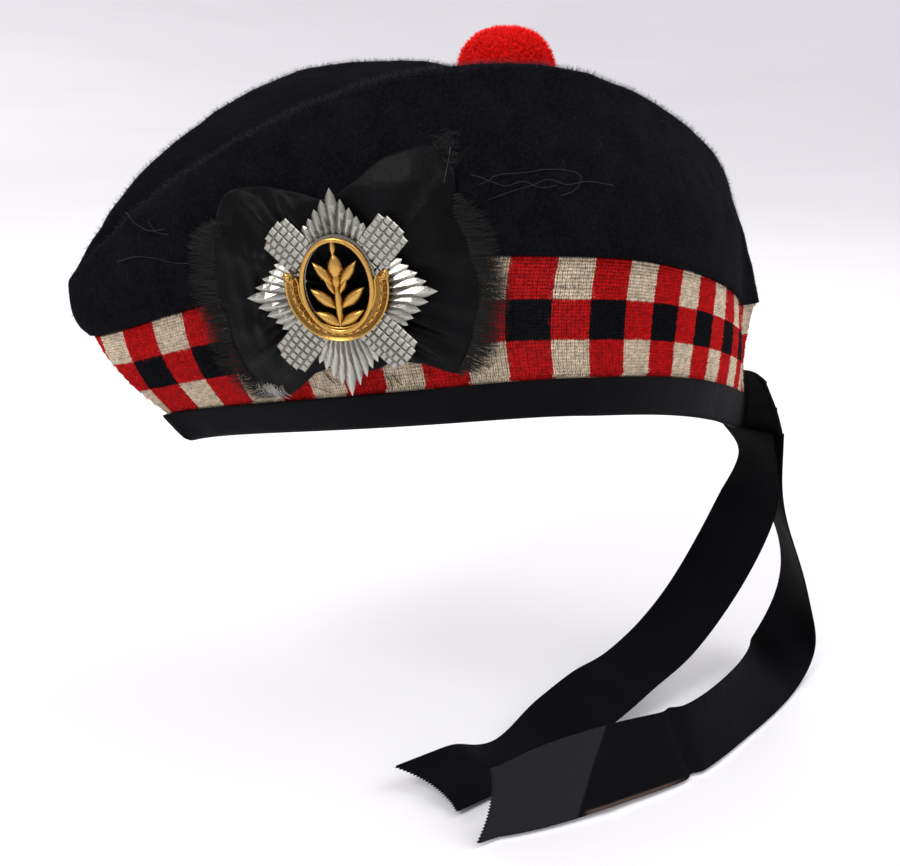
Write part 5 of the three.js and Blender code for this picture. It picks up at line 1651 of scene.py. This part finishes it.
class GLENGARRY_OT_tails(bpy.types.Operator):
    """Folds the ribbon over the back seam and lets the two tails fall"""
    bl_idname = "glengarry.tails"
    bl_label = "Ribbon tails"

    def execute(self, context):
        trim = context.scene.glengarry_trim
        petersham_black = petersham("tail_petersham", trim, 0.7, 0.7)
        left, run_left = ribbon_piece("tail_left_ribbon", TAIL_LEFT, 150, TAIL_WIDTH, TAIL_THICK, LEFT_END,
                                      petersham_black)
        wear(left, "tail_ribbon", "tail_left")
        worn_end = petersham("faded_tail_petersham", trim, 0.7, 0.7, faded=True)
        right, run_right = ribbon_piece("tail_right_ribbon", TAIL_RIGHT, 190, TAIL_WIDTH, TAIL_THICK,
                                        RIGHT_END, worn_end, RIGHT_CREASES, even_out=70)
        wear(right, "tail_ribbon", "tail_right")
        fold, run_fold = ribbon_piece("back_fold", FOLD, 60, FOLD_WIDTH, FOLD_THICK, None,
                                      petersham_black, FOLD_CREASES, 0.9, lap=FOLD_LAP,
                                      rounded=FOLD_ROUNDED)
        wear(fold, "tail_ribbon", "ribbon_fold")
        return {"FINISHED"}


class GLENGARRY_OT_threads(bpy.types.Operator):
    """Lays the stray threads on the cloth"""
    bl_idname = "glengarry.threads"
    bl_label = "Stray threads"

    def execute(self, context):
        cast = hit_surface(("crown", "diced_band"))

        def through(x, y):
            """Place on the hat that the photograph shows at this pixel."""
            ray = LOOK * FOCAL_PX + EYE_RIGHT * (x - IMAGE[0] / 2) - EYE_UP * (y - IMAGE[1] / 2)
            return cast(EYE, unit(ray))

        def lay(name, lines, radius, material, rise):
            """Lays threads on the hat along lines given in pixels of the photograph's view."""
            points, faces = [], []
            for line in lines:
                bends = [(x, y, 0) for x, y in line]
                dots = [smooth_path(bends, u) for u in np.linspace(0, 1, 12 * len(line))]
                found = [through(d[0], d[1]) for d in dots]
                path = [f[0] + f[1] * (rise + radius) for f in found if f]
                base = len(points)
                for i, p in enumerate(path):
                    forward = unit(path[min(i + 1, len(path) - 1)] - path[max(i - 1, 0)])
                    a = unit(np.cross(forward, LOOK))
                    b = np.cross(forward, a)
                    for k in range(3):
                        c = 2 * math.pi * k / 3
                        points.append(p + a * radius * math.cos(c) + b * radius * math.sin(c))
                faces.extend(sleeve(base, len(path), 3))
                faces.append((base, base + 1, base + 2))
                e = base + 3 * (len(path) - 1)
                faces.append((e + 2, e + 1, e))
            obj = piece(name, points, faces, material, merge=False)
            wear(obj, "rosette_silk")

        lay("dark_thread", [[(551, 286), (560, 286.3), (570, 287), (581, 287.3)],
                            [(392, 373), (397, 379), (402, 384)], [(387, 375), (391, 381), (393, 387)],
                            [(322, 364), (327, 374), (336, 383)]], 0.16,
            loose_thread("dark_sewing_thread", linear("#2a2220")), 0.45)
        pale = loose_thread("pale_stray_fibre", linear("#242328"))
        lay("stray_fibres", [
            [(478, 185), (500, 176), (525, 174), (545, 171), (568, 172), (579, 178), (574, 190), (560, 196)],
            [(488, 200), (510, 192), (530, 186), (548, 180), (566, 185), (585, 182), (612, 186)],
            [(470, 176), (486, 180), (505, 186), (522, 182), (540, 188), (556, 186)],
            [(434, 172), (437, 182), (435, 193)],
            [(128, 214), (140, 226), (152, 231), (167, 229)],
            [(119, 262), (136, 257), (155, 258), (174, 262), (191, 263)],
            [(150, 222), (158, 232), (170, 235)],
            [(326, 372), (338, 380), (352, 384)], [(300, 380), (320, 387), (333, 392)]], 0.09, pale, 0.7)
        return {"FINISHED"}


OPERATORS = (GLENGARRY_OT_stage, GLENGARRY_OT_crown, GLENGARRY_OT_band, GLENGARRY_OT_binding,
             GLENGARRY_OT_rosette, GLENGARRY_OT_badge, GLENGARRY_OT_toorie, GLENGARRY_OT_tails,
             GLENGARRY_OT_threads)


class VIEW3D_PT_glengarry(bpy.types.Panel):
    bl_label = "Glengarry"
    bl_space_type = "VIEW_3D"
    bl_region_type = "UI"
    bl_category = "Glengarry"

    def draw(self, context):
        for group in (context.scene.glengarry_cloth, context.scene.glengarry_trim):
            for key in group.__annotations__:
                self.layout.prop(group, key)
        for op in OPERATORS:
            self.layout.operator(op.bl_idname)


CLASSES = (GlengarryCloth, GlengarryTrim) + OPERATORS + (VIEW3D_PT_glengarry,)


def register():
    """Adds the classes and the two groups of settings."""
    for c in CLASSES:
        bpy.utils.register_class(c)
    bpy.types.Scene.glengarry_cloth = PointerProperty(type=GlengarryCloth)
    bpy.types.Scene.glengarry_trim = PointerProperty(type=GlengarryTrim)


def unregister():
    """Takes them away again."""
    del bpy.types.Scene.glengarry_cloth
    del bpy.types.Scene.glengarry_trim
    for c in reversed(CLASSES):
        bpy.utils.unregister_class(c)


def main():
    """Runs the operators in order."""
    register()
    for name in ("stage", "crown", "band", "binding", "rosette", "badge", "toorie", "tails", "threads"):
        getattr(bpy.ops.glengarry, name)()


if __name__ == "__main__":
    main()
